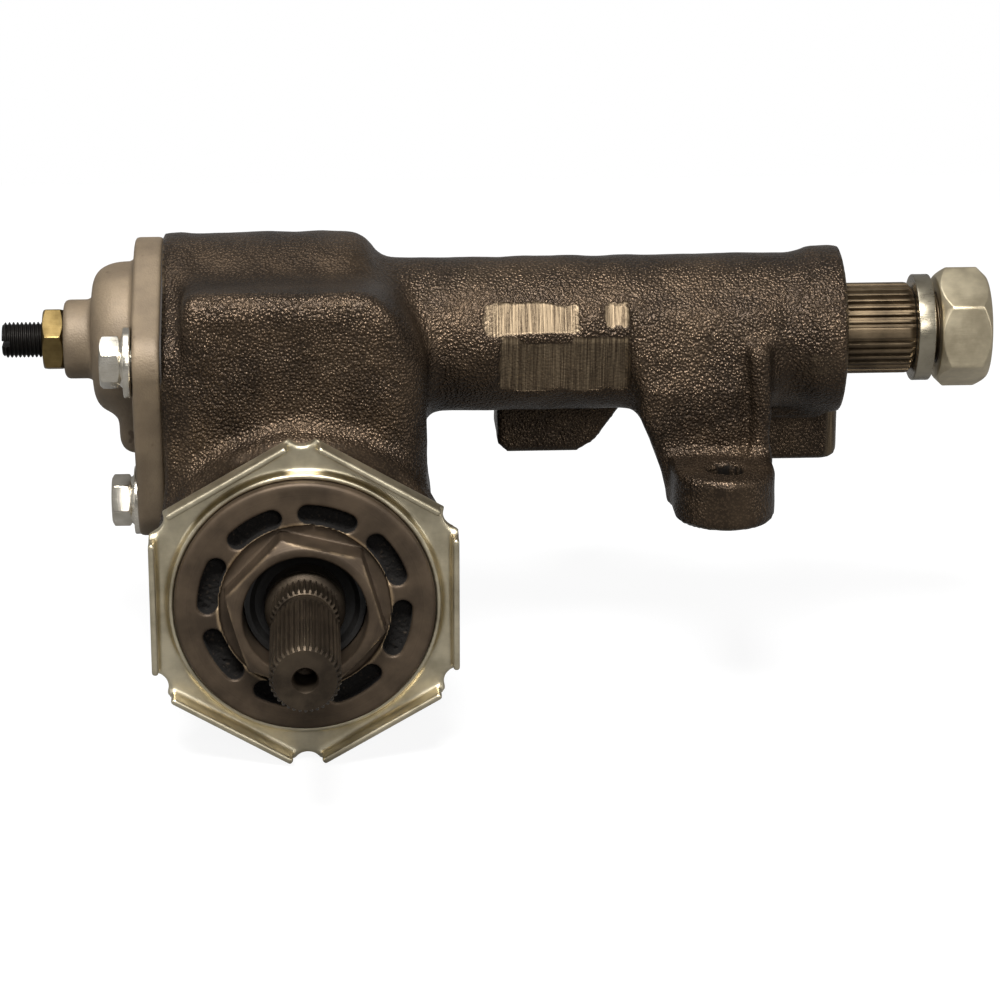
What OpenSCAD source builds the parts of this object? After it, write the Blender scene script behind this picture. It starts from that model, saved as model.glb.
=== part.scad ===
// Manual steering gearbox: a worm, a recirculating ball nut and a toothed sector shaft.
// The sector shaft lies along X with its pitman end at +X, the worm lies along Y, and Z is up.
// Inside the modules, X = 0 is the worm's plane and the sector shaft's axis is Y = Z = 0.

/* [Gear set] */
// Distance between the worm's axis and the sector shaft's axis
centre_distance = 62.5; // [61.5:0.1:65]
// Module of the sector and rack teeth
gear_module = 5.08; // [4.9:0.02:5.2]
// Teeth that a whole circle of the sector would have
full_circle_teeth = 15; // [14:1:15]
// Pressure angle of the teeth
pressure_angle = 25; // [22:1:27]
// Play between the sector and rack teeth
tooth_backlash = 0.24; // [0.16:0.02:0.4]
// Width of the sector's teeth
sector_face_w = 34; // [28:1:36]
// Turns of the worm for one turn of the sector
steering_ratio = 24; // [23:1:28]
// Swing of the sector each way from straight ahead
sector_swing = 36; // [30:1:37]
// Diameter of the recirculating balls
ball_d = 7.144; // [6.4:0.1:7.2]
// Radius of the circle that the recirculating balls run on
ball_circle_r = 12.7; // [12.2:0.1:13]

/* [Worm shaft] */
// Diameter of the worm's lands
worm_d = 24; // [23:0.1:24.4]
// Diameter of the journal that runs in the seal
worm_journal_d = 24; // [22:0.1:25]
// Outside diameter of the input splines
input_spline_d = 20.6; // [18:0.1:22]
// Number of input splines
input_spline_teeth = 36; // [30:1:40]
// Length of the input shaft in front of the bearing adjuster
input_len = 61.5; // [54:0.5:70]
// Diameter of the clamp bolt's groove in the splines
clamp_groove_d = 17.2; // [15:0.1:17.6]
// Radius of the circle that the worm bearing balls run on
bearing_circle_r = 16; // [15.6:0.1:16.4]
// Diameter of the worm bearing balls
bearing_ball_d = 5.556; // [4.8:0.1:5.8]
// Number of balls in each worm bearing
bearing_balls = 13; // [10:1:14]

/* [Worm bearing adjuster] */
// Diameter of the bearing adjuster's thread
adjuster_d = 77; // [75:0.5:79]
// Length of the bearing adjuster
adjuster_len = 19.5; // [19:0.5:24]
// How far the adjuster stands out of the housing collar
adjuster_proud = 8.5; // [8:0.5:10]
// Number of spanner slots in the adjuster
spanner_slots = 8; // [6:1:10]
// Size across the flats of the adjuster's lock nut
locknut_flats = 91; // [88:0.5:94]

/* [Sector shaft] */
// Diameter of the sector shaft in its bushings
sector_shaft_d = 31.75; // [30:0.25:32]
// Outside diameter of the pitman splines
pitman_spline_d = 28.6; // [26:0.1:29.5]
// Number of pitman splines
pitman_spline_teeth = 32; // [28:1:36]
// Length of the sector shaft that stands out before the splines end
pitman_spline_out = 23; // [18:0.5:28]
// Diameter of the pitman nut's thread
pitman_thread_d = 22.2; // [20:0.1:23]
// Size across the flats of the pitman nut
pitman_nut_flats = 33.3; // [32:0.1:36]
// Thickness of the pitman nut
pitman_nut_t = 16; // [14:0.5:20]
// Gap between the pitman lock washer and the nut, which is run on loosely
pitman_nut_gap = 2; // [0.5:0.1:4]
// Diameter of the sector shaft's journal in the side cover
cover_journal_d = 26; // [25:0.25:27]

/* [Housing] */
// Diameter of the sector shaft tube
tube_d = 48; // [46.5:0.5:50]
// Distance from the worm's plane to the end of the tube
tube_end_x = 169; // [166:0.5:176]
// Distance from the worm's plane to the side cover's joint face
cover_face_x = 41.8; // [41:0.2:45]
// Wall of the chamber in front of and behind the sector
chamber_wall = 8.4; // [7:0.2:10]
// Height of the worm chamber's shoulder above the sector shaft's axis
shoulder_z = 26; // [24:0.5:28]
// Height of the chamber's rear shoulder above the sector shaft's axis
rear_shoulder_z = 17; // [14:0.5:19]
// Height of the chamber's step from its roof to the tube
roof_step = 8.7; // [7.5:0.1:9.5]
// Wall of the worm barrel
barrel_wall = 5.4; // [4.5:0.1:7]
// Wall of the housing collar round the adjuster's thread
collar_wall = 4.5; // [4:0.1:6]

/* [Frame pads] */
// Place of the front bolt hole along the sector shaft
front_pad_x = 129; // [126:0.5:132]
// Distance of the front bolt hole in front of the sector shaft
front_pad_y = 42; // [40:0.5:44]
// Place of the rear inner bolt hole along the sector shaft
inner_pad_x = 77.5; // [75:0.5:80]
// Distance of the rear inner bolt hole behind the sector shaft
inner_pad_y = 42; // [40:0.5:44]
// Place of the rear outer bolt hole along the sector shaft
outer_pad_x = 158; // [156:0.5:160]
// Distance of the rear outer bolt hole behind the sector shaft
outer_pad_y = 29; // [28:0.5:32]
// Depth of the pad faces below the sector shaft's axis
pad_depth = 48; // [46:0.5:52]
// Diameter of the three frame bolt holes
frame_hole_d = 11.1; // [9:0.1:12]
// Diameter of the front boss
front_boss_d = 31; // [29:0.5:33]
// Height of the front boss
front_boss_h = 15.7; // [14:0.1:18]

/* [Side cover] */
// Thickness of the side cover's flange
cover_flange_t = 8.8; // [7.5:0.1:10]
// Diameter of the cover's round boss over the sector shaft
cover_dome_d = 47; // [44:0.5:50]
// Length of the round boss beyond the flange
cover_dome_len = 13.7; // [12:0.1:16]
// Diameter of the nose that the lash adjuster screws into
cover_nose_d = 24.7; // [22:0.1:26]
// Length of the nose
cover_nose_len = 8.9; // [7:0.1:11]
// Thickness of the cover gasket
gasket_t = 0.5; // [0.4:0.1:1.2]
// Diameter of the three cover bolts
cover_bolt_d = 9.5; // [8:0.1:10]
// Size across the flats of the cover bolts' heads
cover_bolt_flats = 14.3; // [13:0.1:16]
// Diameter of the lash adjuster's thread
lash_d = 11.1; // [10:0.1:12]
// Length of the lash adjuster outside the cover's nose
lash_out = 19.3; // [16:0.1:24]

/* [Hidden] */
$fn = 64;
// Running clearance of a shaft in its bush, all round
run_gap = 0.06;
// Clearance of a piece in its fixed seat, all round
seat_gap = 0.05;
// Clearance between pieces that pass each other
pass_gap = 0.3;
// Clearance of a ball in its track
track_gap = 0.15;
// Overlap of joined shapes and the run-out of cuts
eps = 1;

// Teeth
pitch_r = gear_module * full_circle_teeth / 2;
tooth_pitch = PI * gear_module;
tooth_add = 0.8 * gear_module;
tooth_ded = gear_module;
sector_tip_r = pitch_r + tooth_add;
sector_root_r = pitch_r - tooth_ded;
sector_base_r = pitch_r * cos(pressure_angle);
sector_teeth = 3;
sector_half_angle = 360 / full_circle_teeth * sector_teeth / 2;
rack_teeth = sector_teeth + 1;
rack_pitch_h = centre_distance - pitch_r;
rack_tip_h = rack_pitch_h + tooth_add;
rack_root_h = rack_pitch_h - tooth_ded;

// Ball nut and worm
worm_lead = 2 * PI * pitch_r / steering_ratio;
nut_travel = pitch_r * sector_swing * PI / 180;
track_r = ball_d / 2 + track_gap;
guide_wall = 0.8;
guide_bore_r = track_r + 0.1;
guide_r = guide_bore_r + guide_wall;
// Swell of the guides' elbows over their straight runs
elbow = 1.06;
circuit_turns = 2;
circuit_len = worm_lead * circuit_turns;
circuit_y = circuit_len / 2 + ball_d / 2 + eps;
nut_end_wall = 2;
nut_half_len = circuit_y + circuit_len / 2 + guide_r + nut_end_wall;
nut_half_w = sector_face_w / 2 + 0.5;
nut_r = ball_circle_r + track_r + 8.6;
nut_flat_h = ball_circle_r + track_r + 3.7;
guide_h = nut_flat_h + 2.1;
balls_per_turn = floor(2 * PI * ball_circle_r / ball_d);
coil_steps = 20;
worm_room = nut_half_len + nut_travel + 2;

// Worm bearings
bearing_track_r = bearing_ball_d / 2 + track_gap;
bearing_y = worm_room + 5;
cup_r = bearing_circle_r + 5.5;
cup_len = 5.5;
cage_t = 1.2;
cage_half_w = bearing_ball_d / 2 + 0.95;

// Bearing adjuster and its lock nut
adjuster_face = worm_room + adjuster_len;
collar_end = adjuster_face - adjuster_proud;
seal_r = 18;
seal_len = 6.5;
seal_inset = 1.5;
recess_r = 24.9;
recess_depth = 2;
adjuster_hex_flats = 42.6;
adjuster_hex_proud = 9.6;
slot_mid_r = 28.5;
slot_w = 6.2;
slot_depth = 5;
slot_arc = 24;
// Turn of the spanner slots as the adjuster is set
slot_turn = 120.6;
locknut_plate_t = 3.2;
locknut_lip_w = 2.6;
locknut_lip_h = 3.6;
locknut_flange_h = 6.5;
locknut_flange_t = 2.4;
locknut_notch_r = 4;

// Sector shaft and pitman end
spline_depth = 1.5;
pitman_shoulder_x = tube_end_x + pitman_spline_out;
pitman_washer_t = 5;
pitman_washer_d = 33.5;
pitman_nut_x = pitman_shoulder_x + pitman_washer_t + pitman_nut_gap;
bushing_wall = 2.2;
tube_bore_r = sector_shaft_d / 2 + run_gap + bushing_wall;
bushing_len = 30;
seal_bore_r = tube_bore_r + 2.4;
sector_seal_len = 9;
sector_seal_inset = 3;
sector_seal_x = tube_end_x - sector_seal_inset - sector_seal_len;

// Side cover and lash adjuster
cover_in_x = -cover_face_x - gasket_t;
cover_out_x = cover_in_x - cover_flange_t;
dome_x = cover_out_x - cover_dome_len;
nose_x = dome_x - cover_nose_len;
lash_tip_x = nose_x - lash_out;
cover_bush_wall = 2.5;
cover_bush_r = cover_journal_d / 2 + run_gap + cover_bush_wall;
journal_end_x = dome_x + 8;
lash_head_r = 8;
lash_head_t = 3.2;
shim_t = 0.6;
slot_lip_t = 3.4;
lash_nut_flats = 17.5;
lash_nut_t = 6.6;
cover_bolt_head_t = 6.4;
cover_washer_t = 2.6;
cover_washer_r = cover_bolt_flats / 2 + 3.7;
cover_bolt_grip = 11;
// Cover bolts as places in Y and Z
cover_bolts = [[-38, 3], [38, 3], [0, -0.85 * centre_distance]];
cover_lobe_r = 11;
roof_r = tube_d / 2 + roof_step;
// Discs that the cover's outline is drawn round, in Y, Z and radius
cover_discs = [
  [cover_bolts[2][0], cover_bolts[2][1], cover_lobe_r - 0.5], [18, 11 + cover_bolts[2][1], 16],
  [cover_bolts[1][0], cover_bolts[1][1], cover_lobe_r], [0, 0, roof_r - 1.2],
  [cover_bolts[0][0], cover_bolts[0][1], cover_lobe_r], [-18, 11 + cover_bolts[2][1], 16]
];

// Housing
sector_room_r = sector_tip_r + 1.4;
shaft_room_r = roof_r - 7;
chamber_half_y = sector_room_r + chamber_wall;
room_right_x = sector_face_w / 2 + 12;
worm_room_r = norm([ball_circle_r, guide_h]) + guide_r + 1.7;
rack_room_w = nut_half_w + 1.2;
rack_room_h = rack_tip_h + 1.3;
barrel_r = norm([rack_room_w, rack_room_h]) + barrel_wall;
chamber_right_x = max(room_right_x + 9, barrel_r - 2.5);
flange_t = 6;
collar_r = adjuster_d / 2 + collar_wall;
collar_fillet = 7;
barrel_end = bearing_y + cup_len + 2;
rear_wall = 6;
tube_collar_r = tube_d / 2 + 2.3;
tube_collar_len = 15;
pylon_front = tube_d / 2 + 4;
pad_z = -pad_depth;
pad_half = 14.6;
frame_hole_depth = 22;

// Origin of the part: the front bolt hole's centre at the pad face
part_origin = [front_pad_x, -front_pad_y, pad_z];

// Points of an arc about c
function arc(c, r, from, to, steps) =
  [for (i = [0:steps]) let (a = from + (to - from) * i / steps) [c[0] + r * cos(a), c[1] + r * sin(a)]];

// Direction of the outer tangent's normal between two discs, going anticlockwise
function tangent_angle(p, q) =
  atan2(q[1] - p[1], q[0] - p[0]) - acos((p[2] - q[2]) / norm([q[0] - p[0], q[1] - p[1]]));

function wrap(a) = a - 360 * floor(a / 360);

// Outline of a belt drawn tight round discs, each given as x, y and radius, anticlockwise
function belt(discs, steps = 8) = [
  for (i = [0:len(discs) - 1])
    let (
      last = discs[(i + len(discs) - 1) % len(discs)],
      disc = discs[i],
      next = discs[(i + 1) % len(discs)],
      from = tangent_angle(last, disc),
      turn = wrap(tangent_angle(disc, next) - from)
    )
    each arc(disc, disc[2], from, from + turn, steps)
];

// Outline of a rectangle with rounded corners
function round_rect(x0, y0, x1, y1, r, steps = 6) =
  belt([[x0 + r, y0 + r, r], [x1 - r, y0 + r, r], [x1 - r, y1 - r, r], [x0 + r, y1 - r, r]], steps);

// Outline of splines, with flanks that narrow to the tips
function spline_outline(r, depth, teeth) = [
  for (i = [0:teeth - 1], k = [0:3])
    let (a = (i + [0.06, 0.28, 0.66, 0.88][k]) * 360 / teeth, rr = k == 1 || k == 2 ? r : r - depth)
    [rr * cos(a), rr * sin(a)]
];

function involute(a) = tan(a) * 180 / PI - a;

// Half angle of a sector tooth at radius r
function tooth_half_angle(r) =
  90 / full_circle_teeth - tooth_backlash / 4 / pitch_r * 180 / PI
  + involute(pressure_angle) - involute(acos(min(1, sector_base_r / r)));

// Outline of one sector tooth that points along -Z, in Y and Z
function sector_tooth(steps = 6) =
  let (
    radii = [for (i = [0:steps]) sector_base_r + (sector_tip_r - sector_base_r) * i / steps],
    side = concat([[sector_root_r - 2, tooth_half_angle(sector_base_r)]],
                  [for (r = radii) [r, tooth_half_angle(r)]])
  )
  concat(
    [for (p = side) p[0] * [-sin(p[1]), -cos(p[1])]],
    [for (i = [len(side) - 1:-1:0]) side[i][0] * [sin(side[i][1]), -cos(side[i][1])]]
  );

// Outline of one rack tooth in Y and height above the worm's axis
function rack_tooth(y) =
  let (
    half = tooth_pitch / 4 - tooth_backlash / 4,
    root = half + (tooth_ded + 1) * tan(pressure_angle),
    tip = half - tooth_add * tan(pressure_angle)
  )
  [[y - root, rack_root_h - 1], [y + root, rack_root_h - 1], [y + tip, rack_tip_h], [y - tip, rack_tip_h]];

// Section of a ball track along the axis: pairs of offset and radius, from a land to the next land
function track_section(land_r, side) =
  let (reach = sqrt(track_r * track_r - pow(land_r - ball_circle_r, 2)))
  [for (f = [-1, -0.8, -0.42, 0, 0.42, 0.8, 1])
     [f * reach, ball_circle_r + side * sqrt(track_r * track_r - f * f * reach * reach)]];

// Place a profile in Y and Z at x, to be extruded along +X
module across_x(x) { translate([x, 0, 0]) rotate([90, 0, 90]) children(); }

// Extrude a profile in X and Z from y0 to y1
module along_y(y0, y1) { translate([0, y1, 0]) rotate([90, 0, 0]) linear_extrude(y1 - y0) children(); }

// Turn a profile of radius and X about the sector shaft's axis
module turn_x() { rotate([0, 90, 0]) rotate_extrude() children(); }

// Stand a shape made along Z on the worm's axis, with Z along +Y
module on_worm() { translate([0, 0, -centre_distance]) rotate([-90, 0, 0]) children(); }

// Turn a profile of radius and Y about the worm's axis
module turn_y() { on_worm() rotate_extrude() children(); }

module rod_x(r, x0, x1) { translate([x0, 0, 0]) rotate([0, 90, 0]) cylinder(r = r, h = x1 - x0); }

module rod_y(r, y0, y1) { on_worm() translate([0, 0, y0]) cylinder(r = r, h = y1 - y0); }

module ring_x(r_out, r_in, x0, x1) {
  difference() {
    rod_x(r_out, x0, x1);
    rod_x(r_in, x0 - eps, x1 + eps);
  }
}

module ring_y(r_out, r_in, y0, y1) {
  difference() {
    rod_y(r_out, y0, y1);
    rod_y(r_in, y0 - eps, y1 + eps);
  }
}

// Hexagonal prism along X with its corners turned off at both ends
module hex_x(flats, x0, x1, turn = 0) {
  corner_r = flats / 2 / cos(30);
  turned_r = corner_r - 0.2;
  face_r = flats / 2 - 0.3;
  bevel = (turned_r - face_r) * tan(30);
  intersection() {
    translate([x0, 0, 0]) rotate([0, 90, 0]) rotate([0, 0, turn])
      cylinder(r = corner_r, h = x1 - x0, $fn = 6);
    turn_x() polygon([
      [0, x0], [face_r, x0], [turned_r, x0 + bevel], [turned_r, x1 - bevel], [face_r, x1], [0, x1]
    ]);
  }
}

// Solid bounded by a one-start ball track that winds along Z from z0 to z1
module ball_track_core(land_r, side, z0, z1, grow = 1) {
  section = track_section(land_r, side);
  m = len(section);
  steps = ceil((z1 - z0) / worm_lead * coil_steps);
  points = [
    for (k = [0:steps], p = section)
      let (a = 360 * k / coil_steps + 360 * z0 / worm_lead)
      [grow * p[1] * cos(a), grow * p[1] * sin(a), z0 + worm_lead * k / coil_steps + p[0]]
  ];
  start = len(points);
  end = start + 1;
  turn = coil_steps * m;
  last = steps * m;
  faces = concat(
    [for (k = [0:steps - 1], j = [0:m - 2]) let (i = k * m + j) [i, i + 1, i + m + 1, i + m]],
    [for (k = [0:steps - 1 - coil_steps]) let (i = k * m + m - 1) [i, i + 1 + turn - m, i + 1 + turn, i + m]],
    [for (k = [0:coil_steps - 1]) [start, k * m, (k + 1) * m]],
    [[start, turn, m - 1]],
    [for (j = [0:m - 2]) [start, j + 1, j]],
    [for (k = [steps - coil_steps:steps - 1]) [end, (k + 1) * m + m - 1, k * m + m - 1]],
    [[end, last - turn + m - 1, last]],
    [for (j = [0:m - 2]) [end, last + j, last + j + 1]]
  );
  polyhedron(concat(points, [[0, 0, z0], [0, 0, z1]]), faces);
}

// Profile of the roof, the shoulder and the tube as radius and X
function roof_profile() =
  let (
    bend = 60,
    roof_x = flange_t - cover_face_x - eps,
    crown_r = roof_step / (1 - cos(bend)) * 0.63,
    foot_r = roof_step / (1 - cos(bend)) * 0.37,
    crown_x = 13.6,
    foot_x = crown_x + (crown_r + foot_r) * sin(bend),
    collar_x = tube_end_x - tube_collar_len
  )
  concat(
    [[0, roof_x], [roof_r - 1.5, roof_x], [roof_r, roof_x + 1.5]],
    arc([roof_r - crown_r, crown_x], crown_r, 0, bend, 8),
    arc([tube_d / 2 + foot_r, foot_x], foot_r, 180 + bend, 180, 6),
    [[tube_d / 2, collar_x - 4], [tube_collar_r, collar_x], [tube_collar_r, tube_end_x - 1],
     [tube_collar_r - 1, tube_end_x], [0, tube_end_x]]
  );

module housing_chamber() {
  // Radius of the chamber's two upright corners towards the tube
  corner_r = 14;
  turn_x() polygon(roof_profile());
  intersection() {
    across_x(-cover_face_x + flange_t) linear_extrude(chamber_right_x + cover_face_x - flange_t)
      polygon(belt([
        [8 - chamber_half_y, -centre_distance, 8], [chamber_half_y - 8, -centre_distance, 8],
        [chamber_half_y - 8, rear_shoulder_z - 8, 8], [8 - chamber_half_y, shoulder_z - 8, 8]
      ], 6));
    along_y(-chamber_half_y - eps, chamber_half_y + eps) polygon([
      [-cover_face_x, -centre_distance - 20], [chamber_right_x + eps, -centre_distance - 20],
      [chamber_right_x + eps, shoulder_z - 18], [chamber_right_x - 14, shoulder_z + eps],
      [-cover_face_x, shoulder_z + eps]
    ]);
    translate([0, 0, -centre_distance - 10]) linear_extrude(centre_distance + shoulder_z + 20)
      polygon(belt([
        [4 - cover_face_x + flange_t, 4 - chamber_half_y, 4],
        [chamber_right_x - corner_r, corner_r - chamber_half_y, corner_r],
        [chamber_right_x - corner_r, chamber_half_y - corner_r, corner_r],
        [4 - cover_face_x + flange_t, chamber_half_y - 4, 4]
      ], 6));
  }
  across_x(-cover_face_x) linear_extrude(flange_t + eps) polygon(belt(cover_discs));
  across_x(-cover_face_x) linear_extrude(flange_t + 5)
    polygon(round_rect(-chamber_half_y + 3, -centre_distance - 4, chamber_half_y - 3, 8, 5));
}

module housing_barrel() {
  front = chamber_half_y - eps;
  turn_y() polygon(concat(
    [[0, -front], [barrel_r, -front]],
    arc([barrel_r - 9, barrel_end - 9], 9, 0, 90, 6),
    [[cup_r + 7, barrel_end], [cup_r + 6, barrel_end + rear_wall - 1.5], [cup_r + 4, barrel_end + rear_wall],
     [0, barrel_end + rear_wall]]
  ));
  turn_y() polygon([
    [0, -collar_end], [collar_r - 1, -collar_end], [collar_r, -collar_end + 1], [collar_r, -front - 2],
    [barrel_r - 0.5, -front + 4], [0, -front + 4]
  ]);
  intersection() {
    turn_y() polygon(concat(
      [[0, -chamber_half_y - collar_fillet]],
      arc([collar_r + collar_fillet, -chamber_half_y - collar_fillet], collar_fillet, 180, 90, 6),
      [[collar_r + collar_fillet, -front], [0, -front]]
    ));
    along_y(-collar_end, 0)
      polygon(round_rect(4 - cover_face_x, -centre_distance - 6, chamber_right_x - 4, shoulder_z, 8));
  }
}

module housing_front_pad() {
  x0 = front_pad_x - front_boss_d / 2;
  x1 = front_pad_x + front_boss_d / 2;
  intersection() {
    along_y(-pylon_front, -tube_d / 4) polygon([
      [x0 - 10, tube_d / 4], [x0 - 9, -tube_d / 2 + 3], [x0, pad_z + 4], [x0 + 1, pad_z],
      [x1, pad_z], [x1 + 1, tube_d / 4]
    ]);
    across_x(x0 - 20) linear_extrude(front_boss_d + 40) polygon([
      [-pylon_front, pad_z], [-tube_d / 4, pad_z], [-tube_d / 4, tube_d / 4], [-tube_d / 2 + 3, tube_d / 4],
      [-pylon_front, -tube_d / 4]
    ]);
  }
  along_y(-front_pad_y, -pylon_front + eps)
    polygon(round_rect(x0, pad_z, x1, pad_z + front_boss_h, 0.8));
  along_y(-pylon_front - 2.5, -pylon_front + eps)
    polygon(round_rect(x1 - 6.5, pad_z + front_boss_h - eps, x1 + 0.5, -4, 1));
  translate([front_pad_x, -front_pad_y, pad_z]) cylinder(d = front_boss_d, h = front_boss_h);
}

module housing_rear_pads() {
  inner_x0 = inner_pad_x - pad_half;
  inner_x1 = inner_pad_x + pad_half;
  along_y(inner_pad_y - pad_half, inner_pad_y + pad_half) polygon([
    [inner_x0, pad_z + 3], [inner_x0 + 3, pad_z], [inner_x1 - 3, pad_z], [inner_x1, pad_z + 2],
    [inner_x1 + 12, pad_z + 19], [inner_x1 + 12, -6], [inner_x0, -6]
  ]);
  along_y(tube_d / 4, inner_pad_y)
    polygon(round_rect(inner_x0 + 0.4, pad_z + 19.3, inner_x1 + 11.6, -6.4, 3));
  translate([0, 0, pad_z]) linear_extrude(pad_depth - 6) polygon(belt([
    [outer_pad_x - pad_half + 4, outer_pad_y - pad_half + 4, 4],
    [outer_pad_x + pad_half - 6, outer_pad_y - pad_half + 6, 6],
    [outer_pad_x + pad_half - 6, outer_pad_y + pad_half - 6, 6],
    [outer_pad_x - pad_half + 4, outer_pad_y + pad_half - 4, 4]
  ], 4));
  along_y(0, outer_pad_y)
    polygon(round_rect(outer_pad_x - pad_half, pad_z + 18, outer_pad_x + pad_half - 6, -4, 4));
}

// Outline of the opening that the sector goes in through, in Y and Z
function cover_window() =
  belt([[-15, 7.5 - sector_room_r, 7], [15, 7.5 - sector_room_r, 7], [0, 0, shaft_room_r - 1.5]]);

module housing_rooms() {
  sweep_x0 = -sector_face_w / 2 - 3;
  sweep_x1 = sector_face_w / 2 + 2;
  rod_x(shaft_room_r, sweep_x0, sweep_x1);
  rod_x(tube_bore_r + 1.5, sweep_x1 - eps, room_right_x);
  across_x(sweep_x0) linear_extrude(room_right_x - sweep_x0) intersection() {
    circle(r = sector_room_r);
    translate([-sector_room_r, -2 * sector_room_r]) square([2 * sector_room_r, 2 * sector_room_r - 4]);
  }
  across_x(-cover_face_x - eps) linear_extrude(cover_face_x + sweep_x0 + 2 * eps) polygon(cover_window());
  rod_y(worm_room_r, -worm_room - eps, worm_room);
  translate([0, 0, -centre_distance]) along_y(-worm_room - eps, worm_room)
    translate([-rack_room_w, 0]) square([2 * rack_room_w, rack_room_h]);
  rod_y(adjuster_d / 2 + seat_gap, -collar_end - eps, -worm_room + 1.5);
  rod_y(cup_r + seat_gap, worm_room - eps, bearing_y + cup_len);
  rod_y(bearing_circle_r, worm_room, bearing_y + cup_len + 2);
  rod_x(tube_bore_r + seat_gap, room_right_x - eps, tube_end_x + eps);
  rod_x(seal_bore_r + seat_gap, sector_seal_x, tube_end_x + eps);
}

module housing_holes() {
  for (b = cover_bolts)
    translate([-cover_face_x - eps, b[0], b[1]]) rotate([0, 90, 0])
      cylinder(d = cover_bolt_d + 2 * seat_gap, h = cover_bolt_grip + 2 * eps);
  for (p = [[front_pad_x, -front_pad_y, front_boss_h + eps], [inner_pad_x, inner_pad_y, frame_hole_depth],
            [outer_pad_x, outer_pad_y, frame_hole_depth]])
    translate([p[0], p[1], pad_z - eps]) cylinder(d = frame_hole_d, h = p[2] + eps);
}

// Flats that a grinder left on the front of the tube: turn, distance from its axis, and ends
module ground_flats() {
  for (f = [[13, 0.917, 61, 99], [-31, 0.963, 56, 85.5]])
    rotate([f[0], 0, 0]) translate([f[2], -tube_d, -tube_d / 2])
      cube([f[3] - f[2], tube_d * (1 - f[1] / 2), tube_d]);
}

module housing() {
  color("#4a4038")
  difference() {
    union() {
      housing_chamber();
      housing_barrel();
      housing_front_pad();
      housing_rear_pads();
    }
    housing_rooms();
    housing_holes();
    ground_flats();
  }
}

module side_cover() {
  // Fillet at the foot of the round boss, and the thickness of the lobe below it
  foot_r = 2.5;
  lobe_t = 6;
  color("#9a8a72")
  difference() {
    union() {
      across_x(cover_out_x) linear_extrude(cover_flange_t) polygon(belt(cover_discs));
      across_x(cover_out_x - lobe_t) linear_extrude(lobe_t + eps)
        polygon(belt([[-7, -26, 9], [7, -26, 9], [0, 0, cover_dome_d / 2 - 1]]));
      turn_x() polygon(concat(
        [[0, cover_out_x + eps], [cover_dome_d / 2 + foot_r, cover_out_x + eps]],
        arc([cover_dome_d / 2 + foot_r, cover_out_x - foot_r], foot_r, 90, 180, 5),
        arc([cover_dome_d / 2 - 7, dome_x + 7], 7, 0, -90, 6),
        [[cover_nose_d / 2 + 2, dome_x], [cover_nose_d / 2, dome_x - 2], [cover_nose_d / 2, nose_x + 1],
         [cover_nose_d / 2 - 1, nose_x], [0, nose_x]]
      ));
    }
    rod_x(cover_bush_r + seat_gap, dome_x + 5, cover_in_x + eps);
    rod_x(lash_d / 2 + seat_gap, nose_x - eps, cover_in_x);
    for (b = cover_bolts)
      translate([cover_out_x - 20, b[0], b[1]]) rotate([0, 90, 0])
        cylinder(d = cover_bolt_d + 2 * seat_gap, h = cover_flange_t + 20 + eps);
    for (b = cover_bolts)
      translate([cover_out_x - 20, b[0], b[1]]) rotate([0, 90, 0])
        cylinder(r = cover_washer_r + pass_gap, h = 20);
  }
}

module side_cover_gasket() {
  color("#2b2622")
  difference() {
    across_x(cover_in_x) linear_extrude(gasket_t) polygon(belt(cover_discs));
    across_x(cover_in_x - eps) linear_extrude(gasket_t + 2 * eps) polygon(cover_window());
    for (b = cover_bolts)
      translate([cover_in_x - eps, b[0], b[1]]) rotate([0, 90, 0])
        cylinder(d = cover_bolt_d + 2 * seat_gap, h = gasket_t + 2 * eps);
  }
}

module side_cover_bolts() {
  head_x = cover_out_x - cover_washer_t;
  color("#c9c3b2")
  for (b = cover_bolts)
    translate([0, b[0], b[1]]) {
      hex_x(cover_bolt_flats, head_x - cover_bolt_head_t, head_x);
      rod_x(cover_bolt_d / 2, head_x - eps, -cover_face_x + cover_bolt_grip);
    }
}

module side_cover_lock_washers() {
  color("#b9b2a0")
  for (b = cover_bolts)
    translate([0, b[0], b[1]])
      ring_x(cover_washer_r, cover_bolt_d / 2 + seat_gap, cover_out_x - cover_washer_t, cover_out_x);
}

module side_cover_bushing() {
  color("#a8763e")
  ring_x(cover_bush_r, cover_journal_d / 2 + run_gap, dome_x + 5 + seat_gap, cover_in_x - seat_gap);
}

module lash_adjuster_screw() {
  head_in_x = journal_end_x + slot_lip_t + shim_t + 2 * pass_gap;
  color("#211f1d")
  difference() {
    union() {
      rod_x(lash_d / 2, lash_tip_x + 1, head_in_x + eps);
      turn_x() polygon([
        [0, lash_tip_x], [lash_d / 2 - 1, lash_tip_x], [lash_d / 2, lash_tip_x + 1], [0, lash_tip_x + 2]
      ]);
      rod_x(lash_head_r, head_in_x, head_in_x + lash_head_t);
    }
    translate([lash_tip_x - eps, -lash_d, -0.9]) cube([2.6 + eps, 2 * lash_d, 1.8]);
  }
}

module lash_adjuster_shim() {
  shim_x = journal_end_x + slot_lip_t + pass_gap;
  color("#8f8d86")
  ring_x(lash_head_r, lash_d / 2 + seat_gap, shim_x, shim_x + shim_t + pass_gap);
}

module lash_adjuster_locknut() {
  color("#a08a4e")
  difference() {
    hex_x(lash_nut_flats, nose_x - lash_nut_t, nose_x, 12);
    rod_x(lash_d / 2 + seat_gap, nose_x - lash_nut_t - eps, nose_x + eps);
  }
}

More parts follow.
